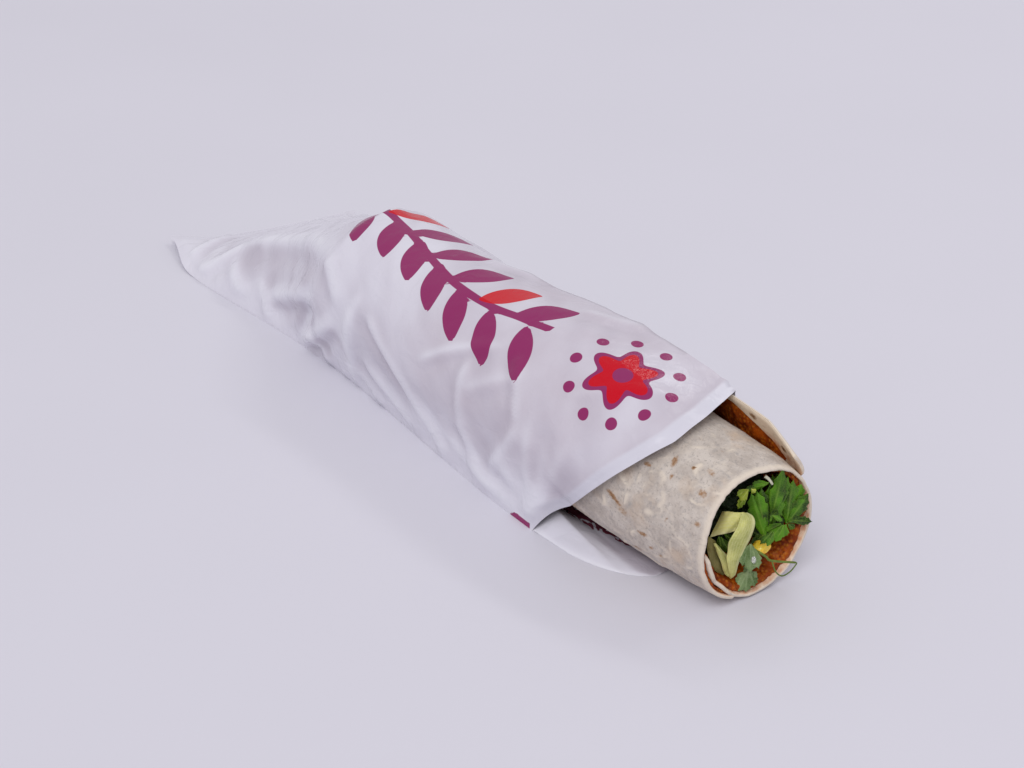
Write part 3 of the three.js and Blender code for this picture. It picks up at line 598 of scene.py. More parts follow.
def lobe(rise, seed, foot, tip, half_width, tone):
    """One lobe about the line from its foot to its tip: the half width follows the toothed
    profile along it. It lies in the plane through right and rise, folded along its rib, with
    its tip curled a little and its blade waved, and is kept inside the winding."""
    u = np.linspace(0, 1, 49)[:, None]
    v = np.linspace(-1, 1, 11)[None, :]
    tip = np.array(tip)
    run = tip / np.linalg.norm(tip)
    wave = 0.04 * np.sin(7 * u + seed)
    wide = half_width * np.interp(u + wave, LOBE_ALONG, LOBE_WIDE)
    bend = 0.07 * np.linalg.norm(tip) * math.sin(2.3 * seed) * u * (1 - u)
    side = v * wide + bend
    right, up = u * tip[0] + side * run[1], u * tip[1] - side * run[0]
    out = 0.05 * (seed % 5) + 0.9 * u ** 2 * math.sin(1.7 * seed) - 0.3 * np.abs(v) * wide
    out = out + 0.3 * noise(right / 2.5 + 7 * seed, up / 2.5, 50) * np.abs(v)
    along = up / (rise @ UP)
    across = right - along * (rise @ RIGHT)
    points = np.array(foot) + across[..., None] * RIGHT + along[..., None] * rise + out[..., None] * OPEN
    x = points[..., 0]
    middle = xyz(x, AXIS_Y, axis_height(x))
    y, z = points[..., 1] - AXIS_Y, (points[..., 2] - middle[..., 2]) / SQUASH
    room = core_radius(np.degrees(np.arctan2(z, y)), x) / np.hypot(y, z)
    pulled_in = mix(np.minimum(room, 1), 1, ease(FRONT_ROOM_X, OPEN_ROOM_X, x))
    points = middle + (points - middle) * pulled_in[..., None]
    rib = 0.38 * np.exp(-(v * wide / 0.16) ** 2) * ease(1.0, 0.5, u) + 0.15 * ease(0.85, 1, np.abs(v))
    # One half of each lobe is painted lighter than the other, as light falling on one side of its fold.
    shade = tone - 0.1 + 0.22 * v * math.cos(seed) + 0.2 * ease(0.45, 0, u)
    return surface(points), rib, shade + 0.3 * noise(right / 2 + seed, up / 4, 60)


for leaf_name, leaf_list, leaf_rise, leaf_look in [
        ("parsley_leaves", PARSLEY, RISE, ("parsley_leaf", "203c04", "5a9416", "93b44c", 0.45, 0.9)),
        ("yellow_green_frill", FRILL, RISE, ("young_leaf", "6f8a14", "b4c243", "cdd27c", 0.45, 0.9)),
        ("hanging_parsley_leaf", HANGING, HANG,
         ("parsley_underside", "4c6532", "8ea270", "a3b38a", 0.5, 0.9))]:
    lobes = [lobe(leaf_rise, i, *leaf) for i, leaf in enumerate(leaf_list)]
    make_leaves(leaf_name, lobes, leaf_look, LEAF_THICK)


# Lettuce: strips of pale inner leaf. The larger one comes in from the near wall, folds over
# and hangs down in front of itself, and a smaller one stands behind it.
LETTUCE_THICK, STRIP_ROWS = 0.5, 90
# Both edges of each strip from end to end, and its tone at both ends.
LETTUCE = [
    ([(191.6, -22.4, 34.6), (192.4, -24, 32.6), (192.8, -25.6, 30), (192.8, -28.6, 26.3),
      (192.4, -28.5, 21.6), (192, -28.4, 18.8), (191.6, -26.9, 13.5), (191, -24.9, 8.2)],
     [(191.8, -20, 34.3), (192.8, -17.8, 32.4), (193.6, -17.4, 29.6), (193.6, -18.8, 24.6),
      (193, -21.3, 19.4), (192.5, -23, 14.4), (191.8, -23.2, 9.6), (191, -24.6, 8.1)], (-0.15, 0.35)),
    ([(184, -23.7, 32.3), (187, -24.2, 33.9), (189.5, -22.2, 34.1), (191, -20.2, 34),
      (191.6, -18.6, 33.2)],
     [(184.5, -29.9, 23.9), (187.5, -27.5, 26), (189.8, -24.8, 27.1), (191.2, -22.3, 28.1),
      (191.8, -19.4, 29)], (0.7, 0.45)),
    ([(187.5, -30.7, 23.5), (188.5, -29.9, 20.5), (189.6, -28.6, 15.8), (190.3, -26.9, 10.6),
      (190.8, -24.8, 8.2)],
     [(187.7, -30, 23.3), (188.8, -27.9, 20.2), (190, -25.4, 16.5), (190.6, -24.1, 12.3),
      (190.9, -24.6, 8.2)], (0.3, 0.3)),
    ([(184.5, -30.7, 24.9), (185.4, -31.6, 20.9), (186.4, -31.5, 17), (187.4, -29.6, 12),
      (188.4, -26.4, 8.8)],
     [(185.5, -28.4, 22.8), (186.4, -27.2, 18.9), (187.4, -25.8, 14.4), (188.2, -25.4, 10.6),
      (188.6, -25.9, 8.8)], (0.28, 0.28)),
]


def smooth_path(points, count):
    """A smooth curve through the points: each span blends four neighbours by cubics."""
    p = np.array(points, float)
    p = np.concatenate([[2 * p[0] - p[1]], p, [2 * p[-1] - p[-2]]])
    s = np.linspace(0, len(points) - 1 - 1e-9, count)
    i = np.floor(s).astype(int)
    f = (s - i)[:, None]
    a, b, c, d = p[i], p[i + 1], p[i + 2], p[i + 3]
    cubic = (3 * b - a - 3 * c + d) * f ** 3
    return 0.5 * (2 * b + (c - a) * f + (2 * a - 5 * b + 4 * c - d) * f ** 2 + cubic)


def unit(v):
    """Vectors scaled to length one."""
    return v / np.linalg.norm(v, axis=-1, keepdims=True)


def lettuce_strip(first, second, tone, seed):
    """A strip between its two edges: it bulges across its width, its rims are waved and fine
    ribs run along it."""
    first, second = (smooth_path(edge, STRIP_ROWS)[:, None] for edge in (first, second))
    u = np.linspace(0, 1, STRIP_ROWS)[:, None]
    v = np.linspace(0, 1, 31)[None, :]
    waved_rims = 0.35 * np.sin(17 * u + 3 * v) * (2 * v - 1) ** 2
    out = 0.7 * np.sin(np.pi * v) + 0.3 * noise(u * 7, v * 3, seed) + waved_rims
    points = mix(first, second, v[..., None]) + out[..., None] * OPEN
    lines = np.abs((v * 7 + 0.5 * noise(u * 4, v * 2, seed + 1)) % 1 - 0.5) * 2
    rib = 0.32 * (1 - lines) ** 2 + 0.5 * ease(0.72, 0.95, v) + 0 * u
    return surface(points), rib, mix(*tone, u) + 0.25 * noise(u * 5, v * 2, seed + 2)


# The strip behind is coloured a darker olive-brown as painted shade.
for strip_name, strip_list, strip_look in [
        ("lettuce_strips", LETTUCE[:3], ("pale_lettuce_leaf", "a6aa58", "e8e68c", "eceab4", 0.42, 1.4)),
        ("inner_lettuce_strip", LETTUCE[3:], ("lettuce_in_painted_shade", "6d6634", "9a9258", "a8a06c", 0.5, 1.4))]:
    strips = [lettuce_strip(*edges, 61 + 3 * i) for i, edges in enumerate(strip_list)]
    make_leaves(strip_name, strips, strip_look, LETTUCE_THICK)


# Stalks: a parsley stem that leans out over the far rim with a curled tendril, and one pale
# cut stem under the top of the opening. They are round, juicy and a little glossy.
# Each has its path and its radius at both ends.
STALKS = [
    ([(181, -17.8, 18), (190, -18.4, 19.6), (195, -18.1, 19.8), (198, -15.3, 17.5), (200, -14.0, 16.1),
      (203, -3.9, 12.7)], 0.56, 0.4),
    ([(200, -13.9, 16), (201.5, -13.1, 11.9), (202.8, -11.0, 9.9), (203.5, -7.7, 10.8),
      (203, -4.0, 12.6)], 0.27, 0.24),
]
PALE_STALKS = [([(189.2, -9.5, 44.2), (190.2, -8.4, 42.9), (191.2, -7.3, 40.8)], 0.65, 0.45)]
STALK_TONE, TIP_SHARE, STALK_RINGS = 0.2, 0.02, 60


def stalk(path, radius, end_radius):
    """A round section carried along a path, thinner to its end and closed at both ends."""
    middle = smooth_path(path, STALK_RINGS)
    run = unit(np.gradient(middle, axis=0))
    side = unit(np.cross(run, OPEN))[:, None]
    over = np.cross(run, side[:, 0])[:, None]
    a = np.linspace(0, 2 * np.pi, 15)[None, :-1]
    u = np.linspace(0, 1, STALK_RINGS)[:, None]
    closing = round_end(np.minimum(u, 1 - u) / TIP_SHARE)
    r = mix(radius, end_radius, u) * closing * (1 + 0.06 * np.cos(3 * a))
    points = middle[:, None] + (r * np.cos(a))[..., None] * side + (r * np.sin(a))[..., None] * over
    return surface(points, around=True), np.zeros(r.shape), np.full(r.shape, STALK_TONE)


for stem_name, stem_list, stem_look in [
        ("parsley_stem", STALKS, ("parsley_stem_skin", "465c20", "7a8c3a", "a3a868", 0.4, 1.2)),
        ("pale_stem", PALE_STALKS, ("pale_stem_skin", "cfcdb0", "e6e3d2", "efeddd", 0.35, 1.2))]:
    make_leaves(stem_name, [stalk(*stem) for stem in stem_list], stem_look)


# Water drop: one drop of clear water left from rinsing the parsley. It clings to the hanging
# leaf, drawn out a little downwards.
DROP_MIDDLE, DROP_RADIUS = (197.4, -20.3, 17.6), 0.85


def drop_grid():
    """A flattened ball, longer down the leaf, from rings between two poles."""
    up = np.linspace(0, np.pi, 17)[:, None]
    a = np.linspace(0, 2 * np.pi, 25)[None, :-1]
    local = xyz(0.8 * np.cos(up), np.sin(up) * np.cos(a), 1.5 * np.sin(up) * np.sin(a))
    return np.array(DROP_MIDDLE) + DROP_RADIUS * local @ np.array([OPEN, RIGHT, UP])


def water_finish():
    """Water: mostly clear and smooth for a hard bright highlight, with a share of white colour that paints a
    white sparkle.
    """
    made, tree, shader, _ = new_material("water")
    # The white base colour is a painted sparkle; water itself is clear.
    feed(tree, shader, {"Base Color": linear("ffffff"), "Roughness": 0.02, "Transmission Weight": 0.7,
                        "IOR": 1.33})
    return made


make_piece("water_drop", [surface(drop_grid(), around=True)], water_finish(), "salad")


# Sweetcorn: one cooked kernel caught under the stem. Its skin is taut and glossy, blunt at
# the crown, with a dimple.
KERNEL_MIDDLE, KERNEL_R, KERNEL_LONG, KERNEL_FLAT = (193.0, -12.1, 17.2), 3.5, 6.0, 0.64


def kernel_grid():
    """Rings along the kernel: a blunt oval that narrows to the cob end, flattened, with a
    soft dimple in the crown."""
    u = np.linspace(0, 1, 41)[:, None]
    a = np.linspace(0, 2 * np.pi, 49)[None, :-1]
    r = KERNEL_R * np.sqrt(np.clip(1 - np.abs(2 * u - 1) ** 2.6, 0, 1)) * mix(0.82, 1.04, u)
    r = r * (1 + 0.05 * np.cos(4 * a) + 0.03 * noise(u * 6, a * 2, 71))
    x = KERNEL_MIDDLE[0] - 3.4 + KERNEL_LONG * u - 0.5 * np.exp(-(r / 1.2) ** 2) * ease(0.7, 1, u)
    return xyz(x, KERNEL_MIDDLE[1] + r * np.cos(a), KERNEL_MIDDLE[2] + KERNEL_FLAT * r * np.sin(a))


def kernel_finish():
    """Cooked sweetcorn skin: clear yellow, glossy, with a little light in its flesh."""
    made, tree, shader, mm = new_material("cooked_sweetcorn_skin")
    cloud = add(tree, "TexNoise", {"Vector": mm, "Scale": 1 / 2.5, "Detail": 3.0})
    colour = layered(tree, "f8c422", ("ffe05a", cloud, 0.35, 0.65, 1))
    feed(tree, shader, {"Base Color": colour, "Roughness": 0.25, "Subsurface Weight": 0.2,
                        "Subsurface Radius": (0.002, 0.0012, 0.0004)})
    return made


make_piece("sweetcorn_kernel", [surface(kernel_grid(), around=True)], kernel_finish(), "corn_kernel")


# Bag: a lay-flat tube of thin milky film, sealed across its rear end and slit along its near
# fold. It is drawn tight over the roll, lies empty behind it and reaches out under it.
FILM, FILM_CLEAR, TUBE_SLACK = 0.6, 0.6, 1.5
FILM_SHOWN, FILM_BED, CORNER_DROP, SHARP_ANGLE = 0.12, 0.14, 0.1, 65
SEAL_X, SEAL_SKEW = -184.0, 20.0
NEAR_FOLD_Y, FAR_FOLD_Y, FAR_SEAL_Y = -45.8, 19.2, 56.2
SLIT_X, TOP_EDGE_X, TONGUE_X, FAR_CORNER_X = 115.0, 166.0, 166.0, 140.0
TAIL_FROM, TAIL_TO, TAIL_H, TIP_RISE = -37.5, -125.0, 66.0, 4.0
FILM_COLS, TAIL_ROWS, ROLL_ROWS = 113, 64, 122
FLAP_V, TONGUE_V = 17 / 28, 0.16
HEM_WIDE, HEM_FROM_X, HEM_FULL_X = 5.6, 112, 124
# Creases: x and distance from the near fold at both ends, width, height.
CREASES = [
    (0, 45, 34, 20, 2.4, 1), (38, 42, 76, 68, 2.4, 0.9), (67, 56, 66, 26, 3.2, 0.85),
    (66, 27, 80, 12, 3.2, 0.77), (68, 46, 96, 63, 3.2, 0.59), (88, 70, 102, 46, 3.2, 0.85),
    (102, 46, 88, 14, 3.2, 0.94), (114, 4, 108, 52, 3.6, 0.81), (112, 4, 94, 24, 3.6, 0.74),
    (115, 6, 128, 54, 3.6, 0.74), (115, 6, 119, 48, 3.6, 0.62), (106, 3, 74, 12, 3.2, 0.85),
    (92, 3, 52, 16, 3.2, 0.77), (58, 4, 30, 22, 3, 0.9), (30, 3, -2, 22, 3.2, 1),
    (-98, 12, -46, 37, 4, 1.6), (-67, 1, -27, 33, 3.4, 1.8), (-46, 37, -68, 3, 3.4, -1.2),
    (-20, 6, -8, 48, 4, 1.2), (-160, 4, -142, 30, 4, 1.3), (-142, 30, -40, 60, 5, 1.5),
    (-38, 58, -22, 42, 4, 1.2), (-174, 6, -182, 30, 3, 1.2), (-120, 60, -158, 78, 4, 1.2),
    (-70, 74, -128, 100, 4, 1.2), (-30, 92, -66, 112, 4, 0.9), (20, 100, 60, 122, 3, 0.8),
    (84, 104, 112, 124, 3.2, 0.68), (-10, 116, 40, 134, 3, 0.8), (-120, 6, -140, 20, 3.4, 1),
    (-92, 4, -110, 16, 3, 1), (-40, 3, -58, 14, 3, 0.9), (6, 3, -14, 14, 2.6, 0.9),
    (120, 70, 150, 100, 2.6, 0.4),
]
# The tongue's raised crease: where it starts, its slant, height and the width of its far slope.
RIDGE_X, RIDGE_Y, RIDGE_SLANT, RIDGE_H, RIDGE_WIDE = 118, -44.8, 0.064, 6.2, 9
# The band printed on the lower film: ends, start, slant and width.
BAND_FROM, BAND_TO, BAND_X, BAND_Y, BAND_SLANT, BAND_WIDE = 109, 156, 117, -38.2, 0.21, 7
# The bar printed over the near fold: ends, and width on either film.
BAR_FROM, BAR_TO, BAR_UPPER, BAR_LOWER = 101, 113.5, 2.6, 1.4
# The printed sprig: ends, middle line, waves and half width of its stem, then its leaves' feet,
# tilt, length and half width, and how far one leaf of a pair stands ahead of the other.
SPRIG_FROM, SPRIG_TO, SPRIG_W, SPRIG_WAVE, SPRIG_TURN, SPRIG_START, SPRIG_HALF = -62, 88, 84, 7, 26, -84, 1.8
FEET, RED_FEET, LEAF_TILT, LEAF_LONG, LEAF_HALF, LEAF_AHEAD = range(-57, 80, 21), (-36, 48), 52, 27, 5.6, 9
# The printed rosette: place on the upper film, petals, eye, rim and ring of dots.
ROSETTE_X, ROSETTE_W, UPPER_WIDE, OFF_PRINT = 129, 90, 180, 400
PETAL_R, PETAL_WAVE, EYE_R, RIM_WIDE, DOT_RING_R, DOT_STEP, DOT_R = 10.8, 2.7, 4.0, 2.6, 21.5, 13.5, 2.5
# Ink: a distance outside all print, then where it starts and is full, and how well it covers.
NO_INK, INK_EDGE = -9.0, (-0.12, 0.12, 0.95)
# The rosette's formula in steps, each a name, an operation and its terms: turn and distance r from
# the middle, petals that wave six times round, ten dots round them, a rim and a heart with an eye.
ROSETTE = [
    ("turn", "ARCTAN2", "w", "x"), ("x2", "MULTIPLY", "x", "x"), ("r2", "MULTIPLY_ADD", "w", "w", "x2"),
    ("r", "SQRT", "r2"), ("sixfold", "MULTIPLY", "turn", 6.0), ("wave", "COSINE", "sixfold"),
    ("outline", "MULTIPLY_ADD", "wave", PETAL_WAVE, PETAL_R), ("petals", "SUBTRACT", "outline", "r"),
    ("tenfold", "MULTIPLY", "turn", 5 / math.pi), ("part", "FRACT", "tenfold"),
    ("beside", "MULTIPLY_ADD", "part", DOT_STEP, -DOT_STEP / 2), ("beyond", "SUBTRACT", "r", DOT_RING_R),
    ("beside2", "MULTIPLY", "beside", "beside"), ("away2", "MULTIPLY_ADD", "beyond", "beyond", "beside2"),
    ("away", "SQRT", "away2"), ("dots", "SUBTRACT", DOT_R, "away"), ("rim", "ADD", "petals", RIM_WIDE),
    ("ring", "MAXIMUM", "rim", "dots"), ("eye", "SUBTRACT", "r", EYE_R),
    ("heart", "MINIMUM", "petals", "eye"),
]


def near_fold(x):
    """Where the near fold lies: out past the roll, then in again towards the seal."""
    rear = 5.5 * ease(-60, -165, x) - 10 * ease(-165, -205, x)
    return NEAR_FOLD_Y - 9 * ease(-50, SLIT_X, x) - rear


def far_fold(x):
    """Where the far fold lies: close to the roll, and far out at the flat seal."""
    return mix(FAR_SEAL_Y, FAR_FOLD_Y, np.clip((x - SEAL_X) / (TAIL_FROM - SEAL_X), 0, 1) ** 0.85)


def rear_edge(v):
    """The sealed edge, skewed: furthest back at the near corner."""
    return SEAL_X - SEAL_SKEW * (1 - v) ** 2


def upper_film(x, v):
    """Across and up at x: a skin drawn over roll, flap and both folds, which slackens into
    an arch towards the sealed end and meets the lower film along folds and seal."""
    near = near_fold(x) + 12 * ease(SLIT_X, SLIT_X + 14, x)
    far = far_fold(x)
    rear = rear_edge(v)
    full = np.clip((x - rear) / (TAIL_FROM - rear), 0, 1)
    on_roll = np.maximum(x, REAR_X)
    axis = axis_height(on_roll) * full
    r = np.maximum(1, (flap_radius(on_roll) + TUBE_SLACK + FILM_CLEAR + FILM) * full)
    drop = axis / SQUASH
    near_angle = 180 + np.degrees(np.arctan2(drop, AXIS_Y - near))
    far_angle = -np.degrees(np.arctan2(drop, far - AXIS_Y))
    a = np.where(v < FLAP_V, mix(near_angle, FLAP_ANGLE, v / FLAP_V),
                 mix(FLAP_ANGLE, far_angle, (v - FLAP_V) / (1 - FLAP_V)))
    flap_reach = (wind_radius(np.float64(0), on_roll) + 0.9 + FILM_CLEAR + FILM) * full
    reach = np.maximum.reduce([
        skin(a, r, np.hypot(AXIS_Y - near, drop), near_angle),
        skin(a, r, np.hypot(far - AXIS_Y, drop), far_angle),
        skin(a, r, np.maximum(r, flap_reach), FLAP_ANGLE)])
    tight = AXIS_Y + reach * np.cos(np.radians(a)), axis + SQUASH * reach * np.sin(np.radians(a))
    rise = TAIL_H * full * np.sin(np.pi * v) ** 0.9
    lie = mix(FILM_BED, 2 * FILM, ease(0, 9, x - rear) * ease(0, 0.06, v) * ease(1, 0.94, v))
    across = mix(v, 0.5 - 0.5 * np.cos(np.pi * v), 0.75 * full)
    w = ease(TAIL_FROM, TAIL_TO, x)
    return mix(tight[0], mix(near, far, across), w), np.maximum(mix(tight[1], lie + rise, w), FILM_BED)


def upper_edge(v):
    """Mouth edge of the upper film: from the slit's end forward over the roll."""
    slit = (TOP_EDGE_X - SLIT_X) * (1 - np.maximum(0, 1 - v / 0.4) ** 1.35)
    return SLIT_X + slit - (TOP_EDGE_X - FAR_CORNER_X) * ease(0.4, 1, v)


def lower_edge(v):
    """Mouth edge of the lower film: out under the roll and back to the slit's end."""
    slit = (TONGUE_X - SLIT_X) * (1 - np.sqrt(np.clip(v / TONGUE_V, 0, 1))) ** 2
    return mix(FAR_CORNER_X, TONGUE_X, ease(1, 0.7, v)) - slit


def film_stations(rear, front):
    """Places along the bag: an even run along the empty tail, then one along the roll."""
    tail = np.linspace(0, 1, TAIL_ROWS, endpoint=False)[:, None]
    roll = np.linspace(0, 1, ROLL_ROWS)[:, None]
    return np.concatenate([mix(rear, TAIL_FROM, tail), mix(TAIL_FROM, front, roll)])


def film_relief(x, w, to_edge):
    """Height of creases and slack in the upper film at x, w from the near fold: ridges along
    straight creases, gathers across the near fold and a hem line behind the mouth edge. Also how
    white the film is: whiter by the near fold, with a painted highlight along each crease and
    painted shade beside it."""
    h = 0.8 * noise(x / 34, w / 26, 81) + 0.45 * noise((x + w) / 15, (x - w) / 36, 82)
    h = h + 0.2 * noise((x - w) / 6, (x + w) / 20, 83)
    whitening_and_painted_light = 0.4 * ease(28, 6, w) + 0.25 * noise((x + w) / 9, (x - w) / 30, 86)
    for x0, w0, x1, w1, width, height in CREASES:
        length = math.hypot(x1 - x0, w1 - w0)
        s = ((x - x0) * (x1 - x0) + (w - w0) * (w1 - w0)) / length ** 2
        side = ((x - x0) * (w1 - w0) - (w - w0) * (x1 - x0)) / length + 1.2 * np.sin(3 * s + x0)
        fade = ease(-0.08, 0.15, s) * ease(1.15, 0.75, s)
        ridge = np.exp(-(0.85 * side / width) ** 2) - 0.5 * np.exp(-((side - 2 * width) / width) ** 2)
        h = h + 1.5 * height * fade * ridge
        # Painted shade beside the crease and a painted highlight along it.
        beside = ease(0, 0.8 * width, side) * np.exp(-np.clip(side, 0, None) / (3 * width))
        bright = 0.75 * np.exp(-(1.15 * side / width) ** 2)
        whitening_and_painted_light = whitening_and_painted_light + abs(height) * fade * (bright - 0.55 * beside)
    h = h + 0.9 * noise(x / 4.6, w / 18, 84) * np.exp(-w / 7)
    hem = np.exp(-((to_edge - HEM_WIDE) / 1.2) ** 2) - 0.7 * ease(HEM_WIDE - 1, 1, to_edge)
    return h + ease(HEM_FROM_X, HEM_FULL_X, x) * hem, whitening_and_painted_light


def almond(along, across, length, half_width):
    """How far inside a pointed oval a place lies, in millimetres; negative outside."""
    body = half_width * np.sin(np.pi * np.clip(along / length, 0, 1)) ** 0.8
    return np.minimum(body - np.abs(across), np.minimum(along, length - along))


def sprig_line(x):
    """Where the sprig's stem runs: an even wave along the bag."""
    return SPRIG_W + SPRIG_WAVE * np.sin((x - SPRIG_START) / SPRIG_TURN)


def print_marks(x, w):
    """How far inside the purple and the red ink of the upper film a place lies: a sprig with
    pairs of pointed leaves along the roll, two of them red, and a bar at the slit."""
    slope = SPRIG_WAVE / SPRIG_TURN * np.cos((x - SPRIG_START) / SPRIG_TURN)
    level = (w - sprig_line(x)) / np.sqrt(1 + slope ** 2)
    purple = np.minimum(SPRIG_HALF - np.abs(level), np.minimum(x - SPRIG_FROM, SPRIG_TO - x))
    red = np.full(x.shape, NO_INK)
    for foot in FEET:
        for side, ahead in ((1, 0), (-1, LEAF_AHEAD)):
            tilt = math.radians(LEAF_TILT * side)
            u, v = x - foot - ahead, w - sprig_line(foot)
            along = u * math.cos(tilt) + v * math.sin(tilt)
            leaf = almond(along, v * math.cos(tilt) - u * math.sin(tilt), LEAF_LONG, LEAF_HALF)
            if foot in RED_FEET and side > 0:
                red = np.maximum(red, leaf)
            else:
                purple = np.maximum(purple, leaf)
    bar = np.minimum(np.minimum(x - BAR_FROM, BAR_TO - x), BAR_UPPER - w)
    return np.maximum(purple, bar), red


def upper_grid(v):
    """The upper film, its relief raised along its normals and faded out at folds and seal. Also
    its ink, its whiteness by the near fold with painted highlights and painted shade along the
    creases, its hem and how far it lies over the roll."""
    x = film_stations(rear_edge(v), upper_edge(v))
    points = xyz(x, *upper_film(x, v))
    steps = np.linalg.norm(np.diff(points, axis=1), axis=-1)
    w = np.concatenate([np.zeros((len(x), 1)), np.cumsum(steps, 1)], 1)
    normal = unit(np.cross(np.gradient(points, axis=1), np.gradient(points, axis=0)) + 1e-9)
    normal = normal * np.sign(normal[:, 40:41, 2:3])
    keep = ease(0, 5, w) * ease(0, 8, w[:, -1:] - w) * ease(2, 14, x - rear_edge(v))
    slack = mix(0.75, 1.0, ease(-20, -70, x))
    to_edge = upper_edge(v) - x
    relief, whitening_and_painted_light = film_relief(x, w, to_edge)
    points = points + (relief * keep * slack)[..., None] * normal
    purple, red = print_marks(x, w)
    hem = ease(HEM_WIDE + 0.6, HEM_WIDE - 0.6, to_edge) * ease(HEM_FROM_X, HEM_FULL_X, x)
    return points, {"purple": purple, "red": red, "maroon": 0 * x + NO_INK,
                    "over": ease(-30, 70, x) * ease(10, 40, w), "whitening_and_painted_light": whitening_and_painted_light, "hem": hem,
                    "rosette_x": x - ROSETTE_X, "rosette_w": w - ROSETTE_W}


def lower_grid(v):
    """The lower film, flat on the table but for its tongue: rippled, and raised to a crease
    between its curved edge and the roll. Also its ink, a ragged band with a gap along it and
    a bar at the slit, a painted highlight along the tongue's edge and the roll's painted shadow."""
    x = film_stations(rear_edge(v), lower_edge(v))
    near = near_fold(x) + 8 * np.clip((x - SLIT_X) / 49, 0, 1) ** 3
    far = far_fold(x)
    y = mix(near, far, v)
    edge_v = TONGUE_V * (1 - np.sqrt(np.clip((TONGUE_X - x) / (TONGUE_X - SLIT_X), 0, 1))) ** 2
    edge = mix(near, far, edge_v)
    tongue = ease(114, 128, x) * ease(-28, -36, y) * ease(0, 3, y - edge)
    ripple = 0.5 + 0.5 * noise(x / 9, y / 6, 85)
    ridge = RIDGE_Y - RIDGE_SLANT * (x - RIDGE_X)
    slopes = np.minimum((y - edge) / np.maximum(ridge - edge, 0.1), 1 - (y - ridge) / RIDGE_WIDE)
    fold = RIDGE_H * np.clip((158 - x) / 40, 0, 1) * ease(101, 117, x) * np.clip(slopes, 0, 1)
    points = xyz(x, y, FILM_BED + 0.7 * tongue * ripple + fold)
    border = BAND_Y + BAND_SLANT * (x - BAND_X) + 0.7 * np.sin(x / 2.1) + 0.5 * np.sin(x / 0.83)
    inside = y - border
    band = np.minimum(np.minimum(inside, BAND_WIDE - inside), np.minimum(x - BAND_FROM, BAND_TO - x))
    gap = 0.55 - np.abs(inside - 1.9 - 0.6 * np.sin(x / 1.4))
    bar = np.minimum(np.minimum(x - BAR_FROM, BAR_TO - x), BAR_LOWER - (y - near))
    # The roll's shadow and a highlight along the tongue's edge are painted into the film's colour.
    shadow = ease(-44, -39, y) * ease(126, 142, x)
    painted_edge_highlight = ease(2.4, 0.8, y - edge) * ease(112, 118, x)
    between_folds = ease(0, 0.3, v) * ease(1, 0.7, v)
    return points, {"purple": bar, "red": 0 * x + NO_INK, "maroon": np.minimum(band, -gap), "over": 0 * x,
                    "whitening_and_painted_light": painted_edge_highlight - 0.8 * shadow, "hem": 0.9 * tongue * (1 - shadow),
                    "rosette_x": x - ROSETTE_X - OFF_PRINT * between_folds,
                    "rosette_w": UPPER_WIDE * v - ROSETTE_W + 0 * x}


def film_grid():
    """Both films, each from the near fold to the far fold, so that folds and seal coincide. The
    near corner of the seal is raised and its far corner pressed down."""
    v = np.linspace(0, 1, FILM_COLS)[None, :]
    films, looks = zip(upper_grid(v), lower_grid(v))
    for points in films:
        tip = ease(SEAL_X + 30, SEAL_X - SEAL_SKEW, points[..., 0])
        tip = tip * ease(NEAR_FOLD_Y + 32, NEAR_FOLD_Y, points[..., 1])
        points[..., 2] = np.maximum(points[..., 2] + TIP_RISE * tip, FILM_BED)
        points[0, -1, 2] -= CORNER_DROP
    (upper, faces), (lower, _) = (surface(points) for points in films)
    return [(upper, faces), (lower, faces[:, ::-1])], {key: [look[key] for look in looks] for key in looks[0]}


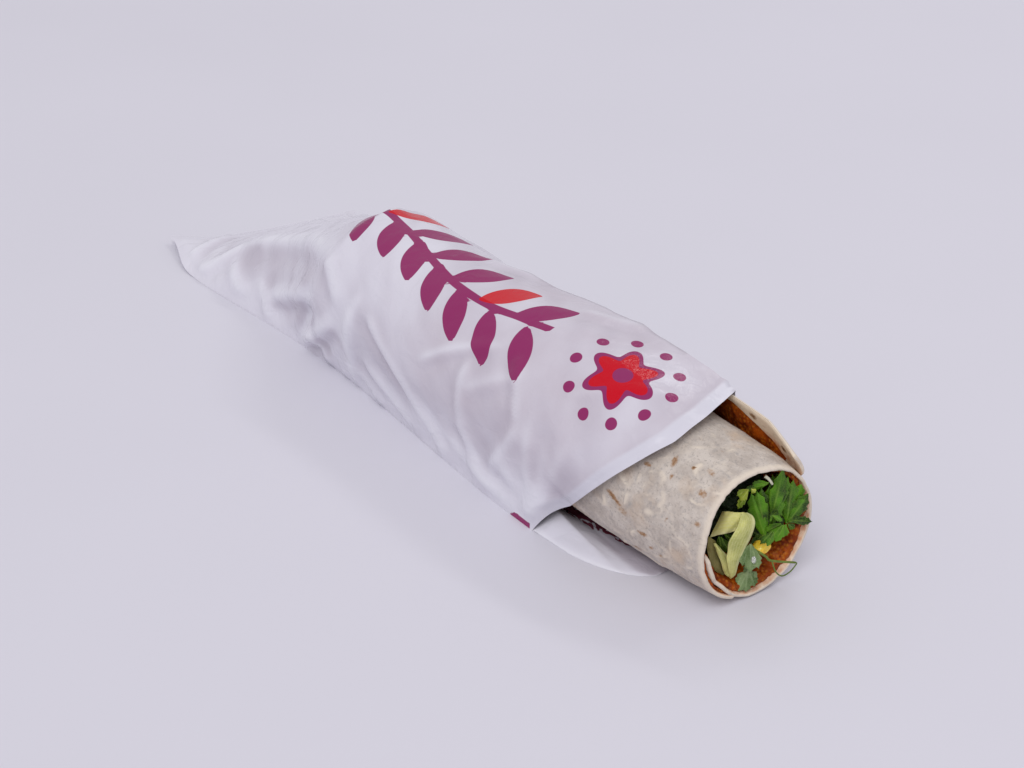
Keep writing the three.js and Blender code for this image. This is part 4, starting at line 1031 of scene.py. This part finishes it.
def film_finish():
    """Milky polyethylene film: smooth and half glossy, a little lilac, duller where the bread
    shows through, whiter by the near fold, with painted highlights along creases and the tongue's
    edge, painted shade beside creases and the roll's painted shadow on the lower film, and
    crinkled in soft facets where it hangs loose. The print on it is flat ink in purple, red and maroon."""
    made, tree, shader, mm = new_material("milky_polyethylene_film")
    cloud = add(tree, "TexNoise", {"Vector": mm, "Scale": 1 / 26, "Detail": 3.0})
    over, whitening_and_painted_light, hem, *inks = (add(tree, "Attribute", out="Fac", attribute_name=name)
                                  for name in ("over", "whitening_and_painted_light", "hem", "purple", "red", "maroon"))
    contact = add(tree, "Math", {0: over, 1: cloud}, operation="MULTIPLY")
    values = {key: add(tree, "Attribute", out="Fac", attribute_name="rosette_" + key) for key in "xw"}
    for name, operation, *terms in ROSETTE:
        inputs = dict(enumerate(values.get(term, term) for term in terms))
        values[name] = add(tree, "Math", inputs, operation=operation)
    purple, red, maroon = (add(tree, "Math", {0: ink, 1: rosette}, operation="MAXIMUM")
                           for ink, rosette in zip(inks, (values["ring"], values["heart"], NO_INK)))
    # The light film colour makes the film whiter by the near fold, as it is, and adds painted highlights
    # along creases and the tongue's edge; the dull film colour is painted shade beside creases and the roll's
    # painted shadow.
    colour = layered(
        tree, "dcd9e3", ("ccc4ce", contact, 0.1, 0.62, 1), ("e8e7ef", whitening_and_painted_light, 0, 1, 0.75),
        ("b9b0bc", whitening_and_painted_light, 0, -0.6, 0.6), ("d9d7e1", hem, 0, 1, 1), ("8e005a", purple, *INK_EDGE),
        ("cc0618", red, *INK_EDGE), ("6f1430", maroon, *INK_EDGE))
    haze = add(tree, "MapRange", {0: cloud, 1: 0.3, 2: 0.7, 3: 0.16, 4: 0.28})
    crinkles = add(tree, "TexNoise", {"Vector": mm, "Scale": 1 / 7, "Detail": 3.0, "Distortion": 1.2})
    soft = add(tree, "Bump", {"Strength": 0.35, "Distance": 0.0009, "Height": crinkles})
    shifts = crinkles.node.outputs["Color"]
    bent = add(tree, "VectorMath", {0: shifts, 1: (2.5, 2.5, 2.5), 2: mm}, operation="MULTIPLY_ADD")
    facets = add(tree, "TexVoronoi", {"Vector": bent, "Scale": 1 / 21}, feature="DISTANCE_TO_EDGE")
    loose = add(tree, "MapRange", {0: over, 3: 0.55, 4: 0.3})
    bump = add(tree, "Bump", {"Strength": loose, "Distance": 0.0022, "Height": facets, "Normal": soft})
    feed(tree, shader, {"Base Color": colour, "Roughness": haze, "Specular IOR Level": 0.2, "Normal": bump})
    return made


film_parts, film_looks = film_grid()
bag = make_piece("film_bag", film_parts, film_finish(), "bag", film_looks)
middles, facing = np.empty((2, 3 * len(bag.data.polygons)))
bag.data.polygons.foreach_get("center", middles)
bag.data.polygons.foreach_get("normal", facing)
if facing[2::3][middles[2::3].argmax()] < 0:
    bag.data.flip_normals()
bag.data.set_sharp_from_angle(angle=math.radians(SHARP_ANGLE))
film_shell = bag.modifiers.new("film", "SOLIDIFY")
film_shell.thickness = FILM_SHOWN / 1000
film_shell.offset = 1
bag.modifiers.new("even_shading", "WEIGHTED_NORMAL").keep_sharp = True
